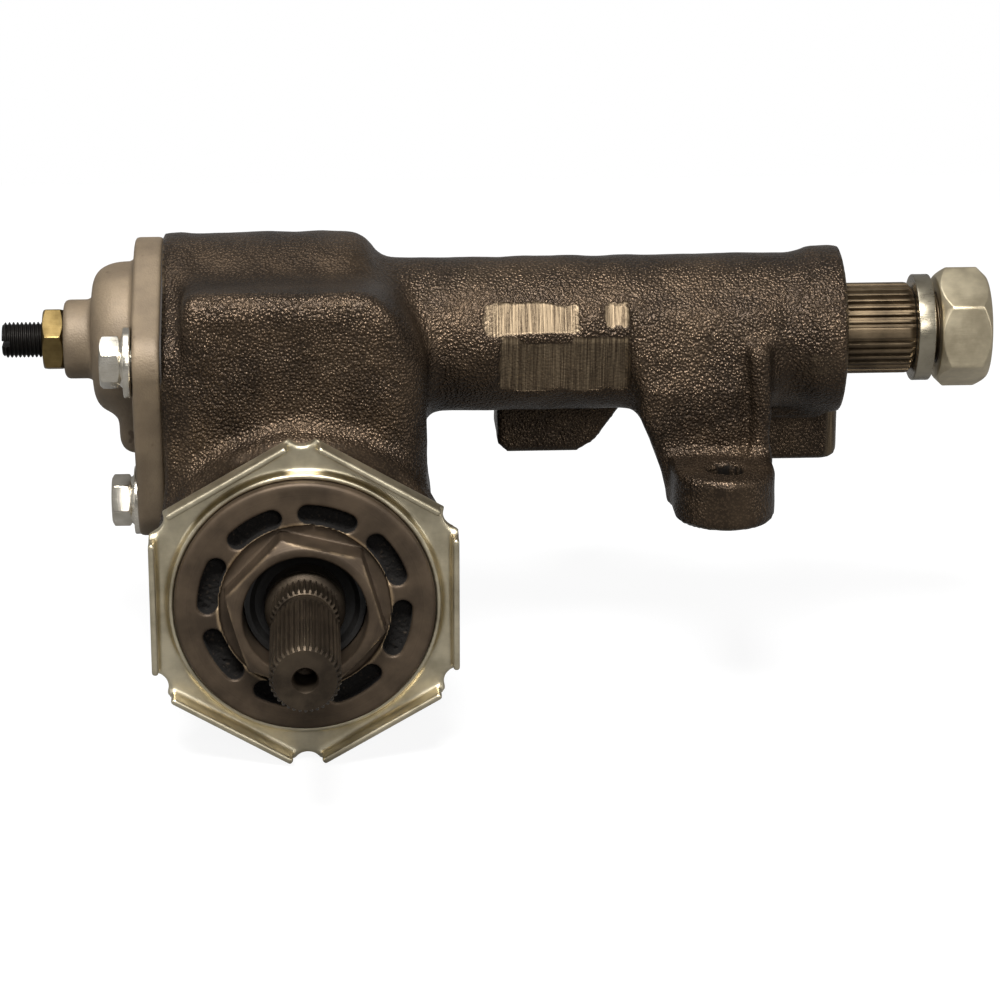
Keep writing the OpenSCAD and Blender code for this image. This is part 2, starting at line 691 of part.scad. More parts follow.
module sector_teeth_block() {
  across_x(-sector_face_w / 2) linear_extrude(sector_face_w) union() {
    circle(r = sector_shaft_d / 2 + 3);
    polygon(concat(
      [[0, 0]],
      arc([0, 0], sector_root_r, -90 - sector_half_angle, -90 + sector_half_angle, 18)
    ));
    for (i = [0:sector_teeth - 1])
      rotate((i - (sector_teeth - 1) / 2) * 360 / full_circle_teeth) polygon(sector_tooth());
  }
}

module sector_shaft() {
  slot_floor_x = journal_end_x + slot_lip_t + shim_t + lash_head_t + 4 * pass_gap;
  neck_w = lash_d + 2 * pass_gap;
  head_w = 2 * lash_head_r + 2 * pass_gap;
  color("#6b655c")
  difference() {
    union() {
      sector_teeth_block();
      rod_x(sector_shaft_d / 2, 0, tube_end_x - 2);
      rod_x(cover_journal_d / 2, journal_end_x, 0);
      across_x(tube_end_x - 3) linear_extrude(pitman_spline_out + 3)
        polygon(spline_outline(pitman_spline_d / 2, spline_depth, pitman_spline_teeth));
      rod_x(pitman_thread_d / 2, pitman_shoulder_x - eps, pitman_nut_x + pitman_nut_t - 1.5);
    }
    translate([journal_end_x - eps, -neck_w / 2, -cover_journal_d])
      cube([slot_lip_t + 2 * eps, neck_w, 2 * cover_journal_d]);
    translate([journal_end_x + slot_lip_t, -head_w / 2, -cover_journal_d])
      cube([slot_floor_x - journal_end_x - slot_lip_t, head_w, 2 * cover_journal_d]);
  }
}

module sector_shaft_bushings() {
  color("#b08a4a")
  for (x = [room_right_x + 2, sector_seal_x - bushing_len - 2])
    ring_x(tube_bore_r, sector_shaft_d / 2 + run_gap, x, x + bushing_len);
}

module sector_shaft_seal() {
  color("#1a1918")
  ring_x(seal_bore_r, sector_shaft_d / 2 + run_gap,
         sector_seal_x + seat_gap, sector_seal_x + sector_seal_len);
}

module pitman_lock_washer() {
  color("#b8ae98")
  difference() {
    ring_x(pitman_washer_d / 2, pitman_thread_d / 2 + seat_gap,
           pitman_shoulder_x + seat_gap, pitman_shoulder_x + pitman_washer_t);
    translate([pitman_shoulder_x - 2, pitman_thread_d / 2 - 4, -0.6]) rotate([0, 0, -25])
      cube([pitman_washer_t * 2, pitman_washer_d, 1.2]);
  }
}

module pitman_nut() {
  color("#b9ae97")
  difference() {
    hex_x(pitman_nut_flats, pitman_nut_x, pitman_nut_x + pitman_nut_t, 19);
    rod_x(pitman_thread_d / 2 + seat_gap, pitman_nut_x - eps, pitman_nut_x + pitman_nut_t + eps);
  }
}

// Groove that a ring of bearing balls runs in, at y on the worm's axis
module ball_groove(y) {
  on_worm() translate([0, 0, y]) rotate_extrude()
    translate([bearing_circle_r, 0]) circle(r = bearing_track_r);
}

module worm_shaft() {
  stub_y = -adjuster_face - 4;
  tip_y = -adjuster_face - input_len;
  groove_y = -adjuster_face - 17;
  groove_w = 5;
  color("#57514a")
  difference() {
    union() {
      intersection() {
        on_worm() ball_track_core(worm_d / 2, -1, -worm_room - worm_lead, worm_room + worm_lead);
        rod_y(bearing_circle_r, -worm_room, worm_room);
      }
      rod_y(bearing_circle_r, -bearing_y, -worm_room + 0.5);
      rod_y(bearing_circle_r, worm_room - 0.5, bearing_y);
      rod_y(worm_journal_d / 2, stub_y, -bearing_y + eps);
      rod_y(worm_journal_d / 2, bearing_y - eps, bearing_y + cup_len - 1);
      translate([0, 0, -centre_distance]) along_y(tip_y + 1.5, stub_y + eps)
        polygon(spline_outline(input_spline_d / 2, 1, input_spline_teeth));
      turn_y() polygon([
        [0, tip_y], [input_spline_d / 2 - 2, tip_y], [input_spline_d / 2 - 1.05, tip_y + 1.6], [0, tip_y + 2]
      ]);
    }
    ball_groove(-bearing_y);
    ball_groove(bearing_y);
    ring_y(input_spline_d, clamp_groove_d / 2, groove_y - groove_w / 2, groove_y + groove_w / 2);
    turn_y() polygon([
      [0, tip_y - eps], [4, tip_y - eps], [2.6, tip_y + 2.6], [2.6, tip_y + 9], [0, tip_y + 10.5]
    ]);
  }
}

module worm_shaft_seal() {
  seal_in = adjuster_face - seal_inset - seal_len;
  color("#161514")
  turn_y() polygon([
    [worm_journal_d / 2 + run_gap, -seal_in], [seal_r, -seal_in], [seal_r, -seal_in - seal_len],
    [seal_r - 1.5, -seal_in - seal_len], [worm_journal_d / 2 + 3, -seal_in - seal_len + 1.5],
    [worm_journal_d / 2 + run_gap, -seal_in - seal_len + 2.5]
  ]);
}

// Outline of a curved slot about the origin, centred on the direction at
function curved_slot(mid_r, width, half_angle, at) =
  let (a0 = at - half_angle, a1 = at + half_angle, r = width / 2)
  concat(
    arc([0, 0], mid_r + r, a0, a1, 6),
    arc(mid_r * [cos(a1), sin(a1)], r, a1 + 20, a1 + 160, 4),
    arc([0, 0], mid_r - r, a1, a0, 6),
    arc(mid_r * [cos(a0), sin(a0)], r, a0 + 200, a0 + 340, 4)
  );

module worm_bearing_adjuster() {
  cup_seat_y = bearing_y + cup_len;
  hex_front = -adjuster_face - adjuster_hex_proud;
  hex_corner_d = adjuster_hex_flats / cos(30);
  color("#3d3630")
  difference() {
    union() {
      difference() {
        turn_y() polygon([
          [0, -worm_room], [adjuster_d / 2 - 1, -worm_room], [adjuster_d / 2, -worm_room - 1],
          [adjuster_d / 2, -adjuster_face + 1.2], [adjuster_d / 2 - 1.2, -adjuster_face], [0, -adjuster_face]
        ]);
        rod_y(recess_r, -adjuster_face - eps, -adjuster_face + recess_depth);
      }
      intersection() {
        on_worm() translate([0, 0, hex_front]) rotate([0, 0, 14])
          cylinder(d = hex_corner_d, h = adjuster_hex_proud + recess_depth + 1, $fn = 6);
        turn_y() polygon([
          [0, hex_front], [adjuster_hex_flats / 2 - 0.3, hex_front], [hex_corner_d / 2, hex_front + 1.9],
          [hex_corner_d / 2, -worm_room - 1], [0, -worm_room - 1]
        ]);
      }
    }
    rod_y(cup_r + seat_gap, -cup_seat_y, -worm_room + eps);
    rod_y(seal_r + seat_gap, hex_front - eps, -cup_seat_y + eps);
    for (i = [0:spanner_slots - 1])
      translate([0, 0, -centre_distance]) along_y(-adjuster_face - eps, -adjuster_face + slot_depth)
        polygon(curved_slot(slot_mid_r, slot_w, slot_arc * 4 / spanner_slots,
                            slot_turn + i * 360 / spanner_slots));
  }
}

module adjuster_locknut() {
  plate_y = -collar_end;
  front_y = plate_y - locknut_plate_t;
  corner_r = locknut_flats / 2 / cos(30);
  side = corner_r - 2 * (locknut_notch_r + 1.5);
  color("#a8a386")
  difference() {
    union() {
      on_worm() translate([0, 0, front_y]) rotate([0, 0, 30])
        cylinder(r = corner_r, h = locknut_plate_t, $fn = 6);
      rod_y(adjuster_d / 2 + locknut_lip_w, front_y - locknut_lip_h, front_y + eps);
      for (i = [0:5])
        translate([0, 0, -centre_distance]) rotate([0, i * 60, 0])
          translate([locknut_flats / 2 - locknut_flange_t, front_y - locknut_flange_h, -side / 2])
            cube([locknut_flange_t, locknut_flange_h + eps, side]);
    }
    rod_y(adjuster_d / 2 + seat_gap, front_y - locknut_flange_h - eps, plate_y + eps);
    for (i = [0:5])
      on_worm() rotate([0, 0, 30 + i * 60]) translate([corner_r, 0, front_y - eps])
        cylinder(r = locknut_notch_r, h = locknut_plate_t + 2 * eps);
  }
}

// Outer bearing cup, open towards the worm, on the side given by its sign
module bearing_cup(side) {
  inner = bearing_circle_r - 0.5;
  y0 = bearing_y - 1;
  y1 = bearing_y + cup_len - seat_gap;
  difference() {
    ring_y(cup_r, inner, side > 0 ? y0 : -y1, side > 0 ? y1 : -y0);
    rod_y(bearing_circle_r + pass_gap,
          side > 0 ? y0 - eps : -bearing_y - pass_gap,
          side > 0 ? bearing_y + pass_gap : -y0 + eps);
    ball_groove(side * bearing_y);
  }
}

module bearing_ball_ring(y, r) {
  on_worm() for (i = [0:bearing_balls - 1])
    rotate([0, 0, i * 360 / bearing_balls]) translate([bearing_circle_r, 0, y]) sphere(r = r);
}

// Conical cage that crosses the ring of balls square to their line of contact
module bearing_cage(side) {
  along = cage_half_w * [cos(45), -sin(45)];
  across = cage_t / 2 * [cos(45), sin(45)];
  middle = [bearing_circle_r, bearing_y];
  difference() {
    on_worm() mirror([0, 0, side > 0 ? 0 : 1]) rotate_extrude()
      polygon([
        middle + along + across, middle + along - across,
        middle - along - across, middle - along + across
      ]);
    bearing_ball_ring(side * bearing_y, bearing_ball_d / 2 + seat_gap);
  }
}

module upper_bearing_cup() { color("#8c8a84") bearing_cup(-1); }
module upper_bearing_cage() { color("#9c7a3c") bearing_cage(-1); }
module upper_bearing_balls() { color("#d0d0d0") bearing_ball_ring(-bearing_y, bearing_ball_d / 2); }
module lower_bearing_cup() { color("#8c8a84") bearing_cup(1); }
module lower_bearing_cage() { color("#9c7a3c") bearing_cage(1); }
module lower_bearing_balls() { color("#d0d0d0") bearing_ball_ring(bearing_y, bearing_ball_d / 2); }

// Path of one return guide: from the track on one side, down, across and up to the other side
function guide_path(y) = [
  [ball_circle_r, y - circuit_len / 2, 0], [ball_circle_r, y - circuit_len / 2, -guide_h],
  [-ball_circle_r, y + circuit_len / 2, -guide_h], [-ball_circle_r, y + circuit_len / 2, 0]
];

// Round bar from p to q
module bar(p, q, r) {
  d = q - p;
  translate(p) rotate([0, acos(d[2] / norm(d)), atan2(d[1], d[0])]) cylinder(r = r, h = norm(d));
}

module guide_bar(y, r) {
  path = guide_path(y);
  for (i = [0:2]) bar(path[i], path[i + 1], r);
  for (i = [1, 2]) translate(path[i]) sphere(r = elbow * r);
}

module ball_nut() {
  color("#7d766b")
  translate([0, 0, -centre_distance])
  difference() {
    intersection() {
      along_y(-nut_half_len, nut_half_len) union() {
        intersection() {
          circle(r = nut_r);
          translate([-nut_r, -nut_flat_h]) square([2 * nut_r, nut_flat_h + nut_r - 5]);
        }
        translate([-nut_half_w, 0]) square([2 * nut_half_w, rack_tip_h + eps]);
      }
      across_x(-nut_r - eps) linear_extrude(2 * nut_r + 2 * eps) union() {
        translate([-nut_half_len - eps, -nut_r - eps])
          square([2 * nut_half_len + 2 * eps, nut_r + eps + rack_root_h]);
        for (i = [0:rack_teeth - 1]) polygon(rack_tooth((i - (rack_teeth - 1) / 2) * tooth_pitch));
      }
    }
    rotate([-90, 0, 0])
      ball_track_core(ball_circle_r + 0.6, 1, -nut_half_len - worm_lead, nut_half_len + worm_lead,
                      1 / cos(180 / coil_steps));
    for (s = [-1, 1]) guide_bar(s * circuit_y, guide_r + seat_gap);
    translate([0, 0, -nut_flat_h - eps]) cylinder(d = 5, h = 3.2 + eps);
  }
}

module recirculating_balls() {
  per_circuit = circuit_turns * balls_per_turn;
  bridge_balls = 3;
  color("#d0d0d0")
  translate([0, 0, -centre_distance]) {
    rotate([-90, 0, 0])
      for (s = [-1, 1], i = [1:per_circuit - 1])
        let (z = s * circuit_y + circuit_len * (i / per_circuit - 0.5))
        rotate([0, 0, 360 * z / worm_lead]) translate([ball_circle_r, 0, z]) sphere(d = ball_d);
    for (s = [-1, 1], i = [-1:bridge_balls - 2])
      translate([0, s * circuit_y, -guide_h]) translate(i * ball_d * 1.05 * bridge_dir()) sphere(d = ball_d);
  }
}

// Direction of a return guide's bridge
function bridge_dir() = let (p = guide_path(0), d = p[2] - p[1]) d / norm(d);

module ball_return_guides() {
  color("#9b9890")
  translate([0, 0, -centre_distance])
  difference() {
    for (s = [-1, 1]) guide_bar(s * circuit_y, guide_r);
    for (s = [-1, 1]) guide_bar(s * circuit_y, guide_bore_r);
    rotate([-90, 0, 0]) translate([0, 0, -worm_room])
      cylinder(r = ball_circle_r + track_r + pass_gap, h = 2 * worm_room);
  }
}

module return_guide_clamp() {
  strap_t = 1.2;
  top = guide_h + guide_r + seat_gap;
  foot = nut_flat_h + seat_gap;
  half_w = 3.6;
  slant = circuit_len / 2 / ball_circle_r;
  half_foot = circuit_y - half_w * slant - guide_r * norm([1, slant]) - pass_gap;
  half_in = half_foot - strap_t;
  reach = circuit_y + 3;
  color("#8f8b82")
  translate([-half_w, 0, -centre_distance]) difference() {
    across_x(0) linear_extrude(2 * half_w) polygon([
      [-half_foot, -foot], [half_foot, -foot], [half_foot, -top], [reach, -top],
      [reach, -top - strap_t], [half_in, -top - strap_t], [half_in, -foot - strap_t],
      [-half_in, -foot - strap_t], [-half_in, -top - strap_t], [-reach, -top - strap_t],
      [-reach, -top], [-half_foot, -top]
    ]);
    translate([half_w, 0, -top - eps]) cylinder(d = 4.4, h = top);
  }
}

module return_guide_screw() {
  seat = nut_flat_h + 1.2 + 2 * seat_gap;
  color("#6f6b64")
  translate([0, 0, -centre_distance]) {
    translate([0, 0, -seat - 2.6]) cylinder(d = 5.4, h = 2.6);
    translate([0, 0, -seat - 0.5]) cylinder(d = 4.2, h = 4);
  }
}

module in_part_frame() { translate(-part_origin) children(); }

in_part_frame() housing();
in_part_frame() side_cover();
in_part_frame() side_cover_gasket();
in_part_frame() side_cover_bolts();
in_part_frame() side_cover_lock_washers();
in_part_frame() side_cover_bushing();
in_part_frame() lash_adjuster_screw();
in_part_frame() lash_adjuster_shim();
in_part_frame() lash_adjuster_locknut();
in_part_frame() sector_shaft();
in_part_frame() sector_shaft_bushings();
in_part_frame() sector_shaft_seal();
in_part_frame() pitman_lock_washer();
in_part_frame() pitman_nut();
in_part_frame() worm_shaft();
in_part_frame() worm_shaft_seal();
in_part_frame() worm_bearing_adjuster();
in_part_frame() adjuster_locknut();
in_part_frame() upper_bearing_cup();
in_part_frame() upper_bearing_cage();
in_part_frame() upper_bearing_balls();
in_part_frame() lower_bearing_cup();
in_part_frame() lower_bearing_cage();
in_part_frame() lower_bearing_balls();
in_part_frame() ball_nut();
in_part_frame() recirculating_balls();
in_part_frame() ball_return_guides();
in_part_frame() return_guide_clamp();
in_part_frame() return_guide_screw();
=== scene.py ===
"""Looks of a manual steering gearbox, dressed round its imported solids.

Shapes are written in millimetres in the maker's frame: the sector shaft lies along X through the
origin, the worm lies along Y at CENTRES below it, and Z is up. ``placed`` brings them to the
part's own frame in metres.
"""
import logging
import math
from collections.abc import Sequence
from dataclasses import dataclass, field
from enum import Enum

import bmesh
import bpy
import numpy as np
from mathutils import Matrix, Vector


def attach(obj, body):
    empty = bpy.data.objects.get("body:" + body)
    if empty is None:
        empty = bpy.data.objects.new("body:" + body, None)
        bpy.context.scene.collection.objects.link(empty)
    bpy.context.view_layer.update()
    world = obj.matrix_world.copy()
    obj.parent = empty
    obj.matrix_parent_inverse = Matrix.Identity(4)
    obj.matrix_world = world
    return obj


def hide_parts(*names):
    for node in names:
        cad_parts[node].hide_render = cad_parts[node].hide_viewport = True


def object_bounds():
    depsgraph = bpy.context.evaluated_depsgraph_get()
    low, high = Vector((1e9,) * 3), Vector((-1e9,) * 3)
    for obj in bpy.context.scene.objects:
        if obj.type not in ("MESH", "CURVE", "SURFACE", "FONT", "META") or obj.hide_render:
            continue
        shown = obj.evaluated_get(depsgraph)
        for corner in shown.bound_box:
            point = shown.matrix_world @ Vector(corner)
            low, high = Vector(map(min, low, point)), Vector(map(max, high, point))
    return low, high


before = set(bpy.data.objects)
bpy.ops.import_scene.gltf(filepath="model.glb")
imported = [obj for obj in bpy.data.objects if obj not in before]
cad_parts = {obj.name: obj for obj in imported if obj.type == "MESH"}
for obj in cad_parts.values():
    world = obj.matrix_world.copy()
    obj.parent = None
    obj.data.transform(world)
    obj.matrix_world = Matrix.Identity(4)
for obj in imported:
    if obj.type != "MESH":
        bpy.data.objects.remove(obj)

import openvdb
from mathutils import Matrix, Vector

CAD_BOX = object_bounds()
LOG = logging.getLogger("gearbox")
MM = 0.001
ORIGIN = np.array([129.0, -42.0, -48.0])
CENTRES = 62.5
WELD = 1e-6
SLIVER = 1e-7
ROUNDED_SHARE = 0.45
FAR = np.float32(1e3)
NUT_CREASE = 32.0

Array = np.ndarray
Pair = tuple[float, float]
Triple = tuple[float, float, float]
Points = Sequence[Pair]
Colour = tuple[int, int, int]
Part = tuple[Array, list[tuple[int, ...]]]


class Line(Enum):
    """The two shaft lines that turned pieces sit on."""

    SECTOR = "sector"
    WORM = "worm"


class Body(Enum):
    """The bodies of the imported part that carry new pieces."""

    HOUSING = "housing"
    SECTOR = "sector"
    WORM = "worm"


def placed(points: Array) -> Array:
    """Bring points from the maker's frame to the part's frame.

    Args:
        points: Places in millimetres, one row each.
    Returns:
        The same places in metres in the part's frame.
    """
    return (np.asarray(points, float) - ORIGIN) * MM


def on_line(line: Line, along: Array, radius: Array, angle: Array) -> Array:
    """Turn places about a shaft line into points of the maker's frame.

    Args:
        line: The shaft line.
        along: Place along the line.
        radius: Distance from the line.
        angle: Turn about the line in radians, from -Y on the sector line and +X on the worm's.
    Returns:
        The points, with the coordinates last.
    """
    u = radius * np.cos(angle)
    v = radius * np.sin(angle)
    if line is Line.SECTOR:
        return np.stack(np.broadcast_arrays(along, -u, v), -1)
    return np.stack(np.broadcast_arrays(u, along, v - CENTRES), -1)


def smoothstep(low: float, high: float, value: Array) -> Array:
    """Ease from 0 at low to 1 at high.

    Args:
        low: Value at which the result is 0.
        high: Value at which the result is 1.
        value: Values to ease.
    Returns:
        The eased values.
    """
    t = np.clip((value - low) / (high - low), 0, 1)
    return t * t * (3 - 2 * t)


def between(value: Array, up: Pair, down: Pair) -> Array:
    """Ease up over one range and down over another, whose higher end comes first."""
    return smoothstep(*up, value) * smoothstep(*down, value)


def eased(points: Points, radius: float, steps: int = 3, closed: bool = False) -> list[Pair]:
    """Round the corners of an outline.

    Args:
        points: Corners of the outline.
        radius: Length taken off each side of a corner.
        steps: Pieces of each rounded corner.
        closed: Whether the outline comes back to its start.
    Returns:
        The outline with its corners rounded.
    """
    corners = [np.asarray(p, float) for p in points]
    count = len(corners)
    result: list[Pair] = []
    for i, corner in enumerate(corners):
        if not closed and i in (0, count - 1):
            result.append((corner[0], corner[1]))
            continue
        before = corners[i - 1] - corner
        after = corners[(i + 1) % count] - corner
        before_length = np.linalg.norm(before)
        after_length = np.linalg.norm(after)
        reach = min(radius, ROUNDED_SHARE * before_length, ROUNDED_SHARE * after_length)
        start = corner + before / before_length * reach
        end = corner + after / after_length * reach
        for k in range(steps + 1):
            t = k / steps
            p = (1 - t) ** 2 * start + 2 * t * (1 - t) * corner + t * t * end
            result.append((p[0], p[1]))
    return result


def belt(discs: Sequence[Triple], steps: int = 24) -> list[Pair]:
    """Draw an outline tight round discs, anticlockwise.

    Args:
        discs: Places and radii of the discs.
        steps: Pieces of each arc.
    Returns:
        The outline.
    """
    def tangent(p: Sequence[float], q: Sequence[float]) -> float:
        """Give the direction of the outer tangent's normal."""
        gap = math.hypot(q[0] - p[0], q[1] - p[1])
        return math.atan2(q[1] - p[1], q[0] - p[0]) - math.acos((p[2] - q[2]) / gap)

    outline = []
    for i, disc in enumerate(discs):
        start = tangent(discs[i - 1], disc)
        turn = (tangent(disc, discs[(i + 1) % len(discs)]) - start) % math.tau
        for k in range(steps + 1):
            a = start + turn * k / steps
            outline.append((disc[0] + disc[2] * math.cos(a), disc[1] + disc[2] * math.sin(a)))
    return outline


def linked(name: str, data: bpy.types.ID) -> bpy.types.Object:
    """Make an object of that data and put it in the scene.

    Args:
        name: Name of the object.
        data: Its mesh, lamp or camera.
    Returns:
        The object, at the origin.
    """
    made = bpy.data.objects.new(name, data)
    bpy.context.scene.collection.objects.link(made)
    return made


def mesh_piece(name: str, points: Array, faces: Sequence[Sequence[int]],
               crease: float = 38.0) -> bpy.types.Object:
    """Make an object of points and faces, closed up and shaded smooth between creases.

    Args:
        name: Name of the piece.
        points: Points in the maker's frame.
        faces: Indices of each face's points.
        crease: Angle in degrees over which an edge stays sharp.
    Returns:
        The new object, at the origin.
    """
    mesh = bpy.data.meshes.new(name)
    mesh.from_pydata([tuple(p) for p in placed(points)], [], [tuple(f) for f in faces])
    work = bmesh.new()
    work.from_mesh(mesh)
    bmesh.ops.remove_doubles(work, verts=work.verts, dist=WELD)
    bmesh.ops.dissolve_degenerate(work, edges=work.edges, dist=SLIVER)
    bmesh.ops.recalc_face_normals(work, faces=work.faces)
    work.to_mesh(mesh)
    work.free()
    mesh.shade_smooth()
    mesh.set_sharp_from_angle(angle=math.radians(crease))
    return linked(name, mesh)


def plain_mesh(piece: bpy.types.Object) -> bpy.types.Mesh:
    """Turn what a piece's modifiers give into a plain mesh."""
    return bpy.data.meshes.new_from_object(piece.evaluated_get(bpy.context.evaluated_depsgraph_get()))


def mesh_part(mesh: bpy.types.Mesh) -> Part:
    """Read a mesh's points, in its own frame, and faces."""
    return np.array([v.co for v in mesh.vertices]), [tuple(p.vertices) for p in mesh.polygons]


def set_inputs(modifier: bpy.types.NodesModifier, values: dict[str, object]) -> None:
    """Set the inputs of a modifier's tree by their identifiers.

    Args:
        modifier: The modifier.
        values: Values by the inputs' names.
    """
    for item in modifier.node_group.interface.items_tree:
        if item.in_out == "INPUT" and item.name in values:
            modifier[item.identifier] = values[item.name]


def grid_faces(rows: int, columns: int, close_rows: bool, close_columns: bool) -> list[tuple[int, ...]]:
    """List the quads of a grid of points.

    Args:
        rows: Number of rows.
        columns: Points in each row.
        close_rows: Whether the last row joins the first.
        close_columns: Whether each row's last point joins its first.
    Returns:
        Indices of each quad's points.
    """
    result = []
    for i in range(rows if close_rows else rows - 1):
        for j in range(columns if close_columns else columns - 1):
            k = (i + 1) % rows
            m = (j + 1) % columns
            result.append((i * columns + j, i * columns + m, k * columns + m, k * columns + j))
    return result


def lathe(line: Line, profile: Points, steps: int = 128) -> Part:
    """Turn a closed profile about a shaft line.

    Args:
        line: The shaft line.
        profile: Radius and place along the line of each corner, closed on itself or on the line.
        steps: Pieces round the line.
    Returns:
        Points of the maker's frame and faces.
    """
    outline = np.asarray(profile, float)
    angles = np.linspace(0, math.tau, steps, endpoint=False)
    points = on_line(line, outline[None, :, 1], outline[None, :, 0], angles[:, None])
    return points.reshape(-1, 3), grid_faces(steps, len(outline), True, True)


def joined(*parts: Part) -> Part:
    """Put several sets of points and faces together.

    Args:
        parts: The sets.
    Returns:
        One set of points and faces.
    """
    points = []
    faces = []
    count = 0
    for part_points, part_faces in parts:
        points.append(part_points)
        faces += [tuple(i + count for i in face) for face in part_faces]
        count += len(part_points)
    return np.concatenate(points), faces


@dataclass
class Solid:
    """A block of signed distances in millimetres, negative inside, that a skin is drawn from."""

    low: Triple
    high: Triple
    cell: float
    x: Array = field(init=False)
    y: Array = field(init=False)
    z: Array = field(init=False)
    shape: tuple[int, int, int] = field(init=False)

    def __post_init__(self) -> None:
        """Lay out the grid's coordinates."""
        x, y, z = (
            np.arange(a, b + self.cell, self.cell, dtype=np.float32) for a, b in zip(self.low, self.high))
        self.x = x[:, None, None]
        self.y = y[None, :, None]
        self.z = z[None, None, :]
        self.shape = (len(x), len(y), len(z))

    def skin(self, distance: Array) -> tuple[Array, Array]:
        """Draw the surface where the distance is nothing.

        Args:
            distance: Signed distance at each grid point.
        Returns:
            Points of the maker's frame and quads.
        """
        band = 3 * self.cell
        values = np.clip(np.broadcast_to(distance, self.shape), -band, band).astype(np.float32)
        grid = openvdb.FloatGrid(band)
        grid.copyFromArray(np.ascontiguousarray(values))
        points, quads = grid.convertToQuads(isovalue=0.0)
        return points * self.cell + np.array(self.low), quads

    def at(self, distance: Array, points: Array) -> Array:
        """Read a field at points, between its grid points.

        Args:
            distance: A field on the grid.
            points: Points of the maker's frame.
        Returns:
            The field's value at each point.
        """
        values = np.broadcast_to(distance, self.shape)
        place = (points - np.array(self.low)) / self.cell
        base = np.clip(np.floor(place).astype(int), 0, np.array(self.shape) - 2)
        part = place - base
        total = np.zeros(len(points))
        for corner in np.ndindex(2, 2, 2):
            weight = np.prod(np.where(corner, part, 1 - part), axis=1)
            index = base + np.array(corner)
            total += weight * values[index[:, 0], index[:, 1], index[:, 2]]
        return total


def fuse(a: Array, b: Array, fillet: float) -> Array:
    """Join two solids with a rounded inner corner.

    Args:
        a: Distance to the first solid.
        b: Distance to the second solid.
        fillet: Reach of the rounding.
    Returns:
        Distance to both together.
    """
    h = np.clip(fillet - np.abs(a - b), 0, None) / fillet
    return np.minimum(a, b) - h * h * fillet / 4


def common(a: Array, b: Array, edge: float) -> Array:
    """Keep what two solids share, with a rounded outer edge of that reach."""
    return -fuse(-a, -b, edge)


def cut(a: Array, b: Array, edge: float = 0.8) -> Array:
    """Take the second solid out of the first, with an edge rounded to that reach."""
    return common(a, -b, edge)


def slab(value: Array, low: float, high: float) -> Array:
    """Give the distance to the space between two parallel planes."""
    return np.maximum(low - value, value - high)


def round_rect(u: Array, v: Array, low: Pair, high: Pair, radius: float) -> Array:
    """Give the distance to a rectangle with rounded corners.

    Args:
        u: First coordinate.
        v: Second coordinate.
        low: Lowest corner.
        high: Highest corner.
        radius: Radius of the corners.
    Returns:
        The signed distance.
    """
    p = np.abs(u - (low[0] + high[0]) / 2) - (high[0] - low[0]) / 2 + radius
    q = np.abs(v - (low[1] + high[1]) / 2) - (high[1] - low[1]) / 2 + radius
    return np.hypot(np.maximum(p, 0), np.maximum(q, 0)) + np.minimum(np.maximum(p, q), 0) - radius


def outline_distance(u: Array, v: Array, outline: Points) -> Array:
    """Give the distance to an outline.

    Args:
        u: First coordinate.
        v: Second coordinate.
        outline: Corners of the outline in order.
    Returns:
        The signed distance, negative inside.
    """
    shape = np.broadcast_shapes(u.shape, v.shape)
    nearest = np.full(shape, 1e9, np.float32)
    inside = np.zeros(shape, bool)
    corners = np.asarray(outline, np.float32)
    for p, q in zip(corners, np.roll(corners, -1, axis=0)):
        edge = q - p
        length = float(edge @ edge)
        if length < 1e-10:
            continue
        t = np.clip(((u - p[0]) * edge[0] + (v - p[1]) * edge[1]) / length, 0, 1)
        gap = (u - p[0] - t * edge[0]) ** 2 + (v - p[1] - t * edge[1]) ** 2
        nearest = np.minimum(nearest, gap)
        if abs(edge[1]) > 1e-9:
            crosses = (p[1] > v) != (q[1] > v)
            inside ^= crosses & (u < p[0] + (v - p[1]) / edge[1] * edge[0])
    return np.where(inside, -1, 1) * np.sqrt(nearest)


def hexagon_distance(u: Array, v: Array, flats: float, turn: float = 0.0) -> Array:
    """Give the distance to a hexagon.

    Args:
        u: First coordinate from its middle.
        v: Second coordinate from its middle.
        flats: Size across the flats.
        turn: Turn in degrees.
    Returns:
        The distance, negative inside.
    """
    found = -FAR
    for k in range(6):
        a = math.radians(60 * k + turn)
        found = np.maximum(found, u * math.cos(a) + v * math.sin(a) - flats / 2)
    return found


def ripple(block: Solid, wave: float, seed: int, count: int = 14) -> Array:
    """Make a gentle unevenness that fills a block.

    Args:
        block: The block whose grid it is made on.
        wave: Typical wavelength in millimetres.
        seed: Seed of its directions.
        count: Number of waves added.
    Returns:
        Values of about -1 to 1.
    """
    draw = np.random.default_rng(seed)
    total = np.float32(0)
    for _ in range(count):
        direction = draw.normal(size=3)
        direction *= math.tau / (wave * draw.uniform(0.7, 1.6)) / np.linalg.norm(direction)
        phase = draw.uniform(0, math.tau)
        a, b, c = (np.float32(d) for d in direction)
        total = total + np.sin(a * block.x + b * block.y + (c * block.z + np.float32(phase)))
    return total / math.sqrt(count)


def paint(piece: bpy.types.Object, name: str, values: Array) -> None:
    """Store a number on each point of a piece for its material to read.

    Args:
        piece: The piece.
        name: Name of the attribute.
        values: One number for each point.
    """
    layer = piece.data.attributes.new(name, "FLOAT", "POINT")
    layer.data.foreach_set("value", np.asarray(values, np.float32))


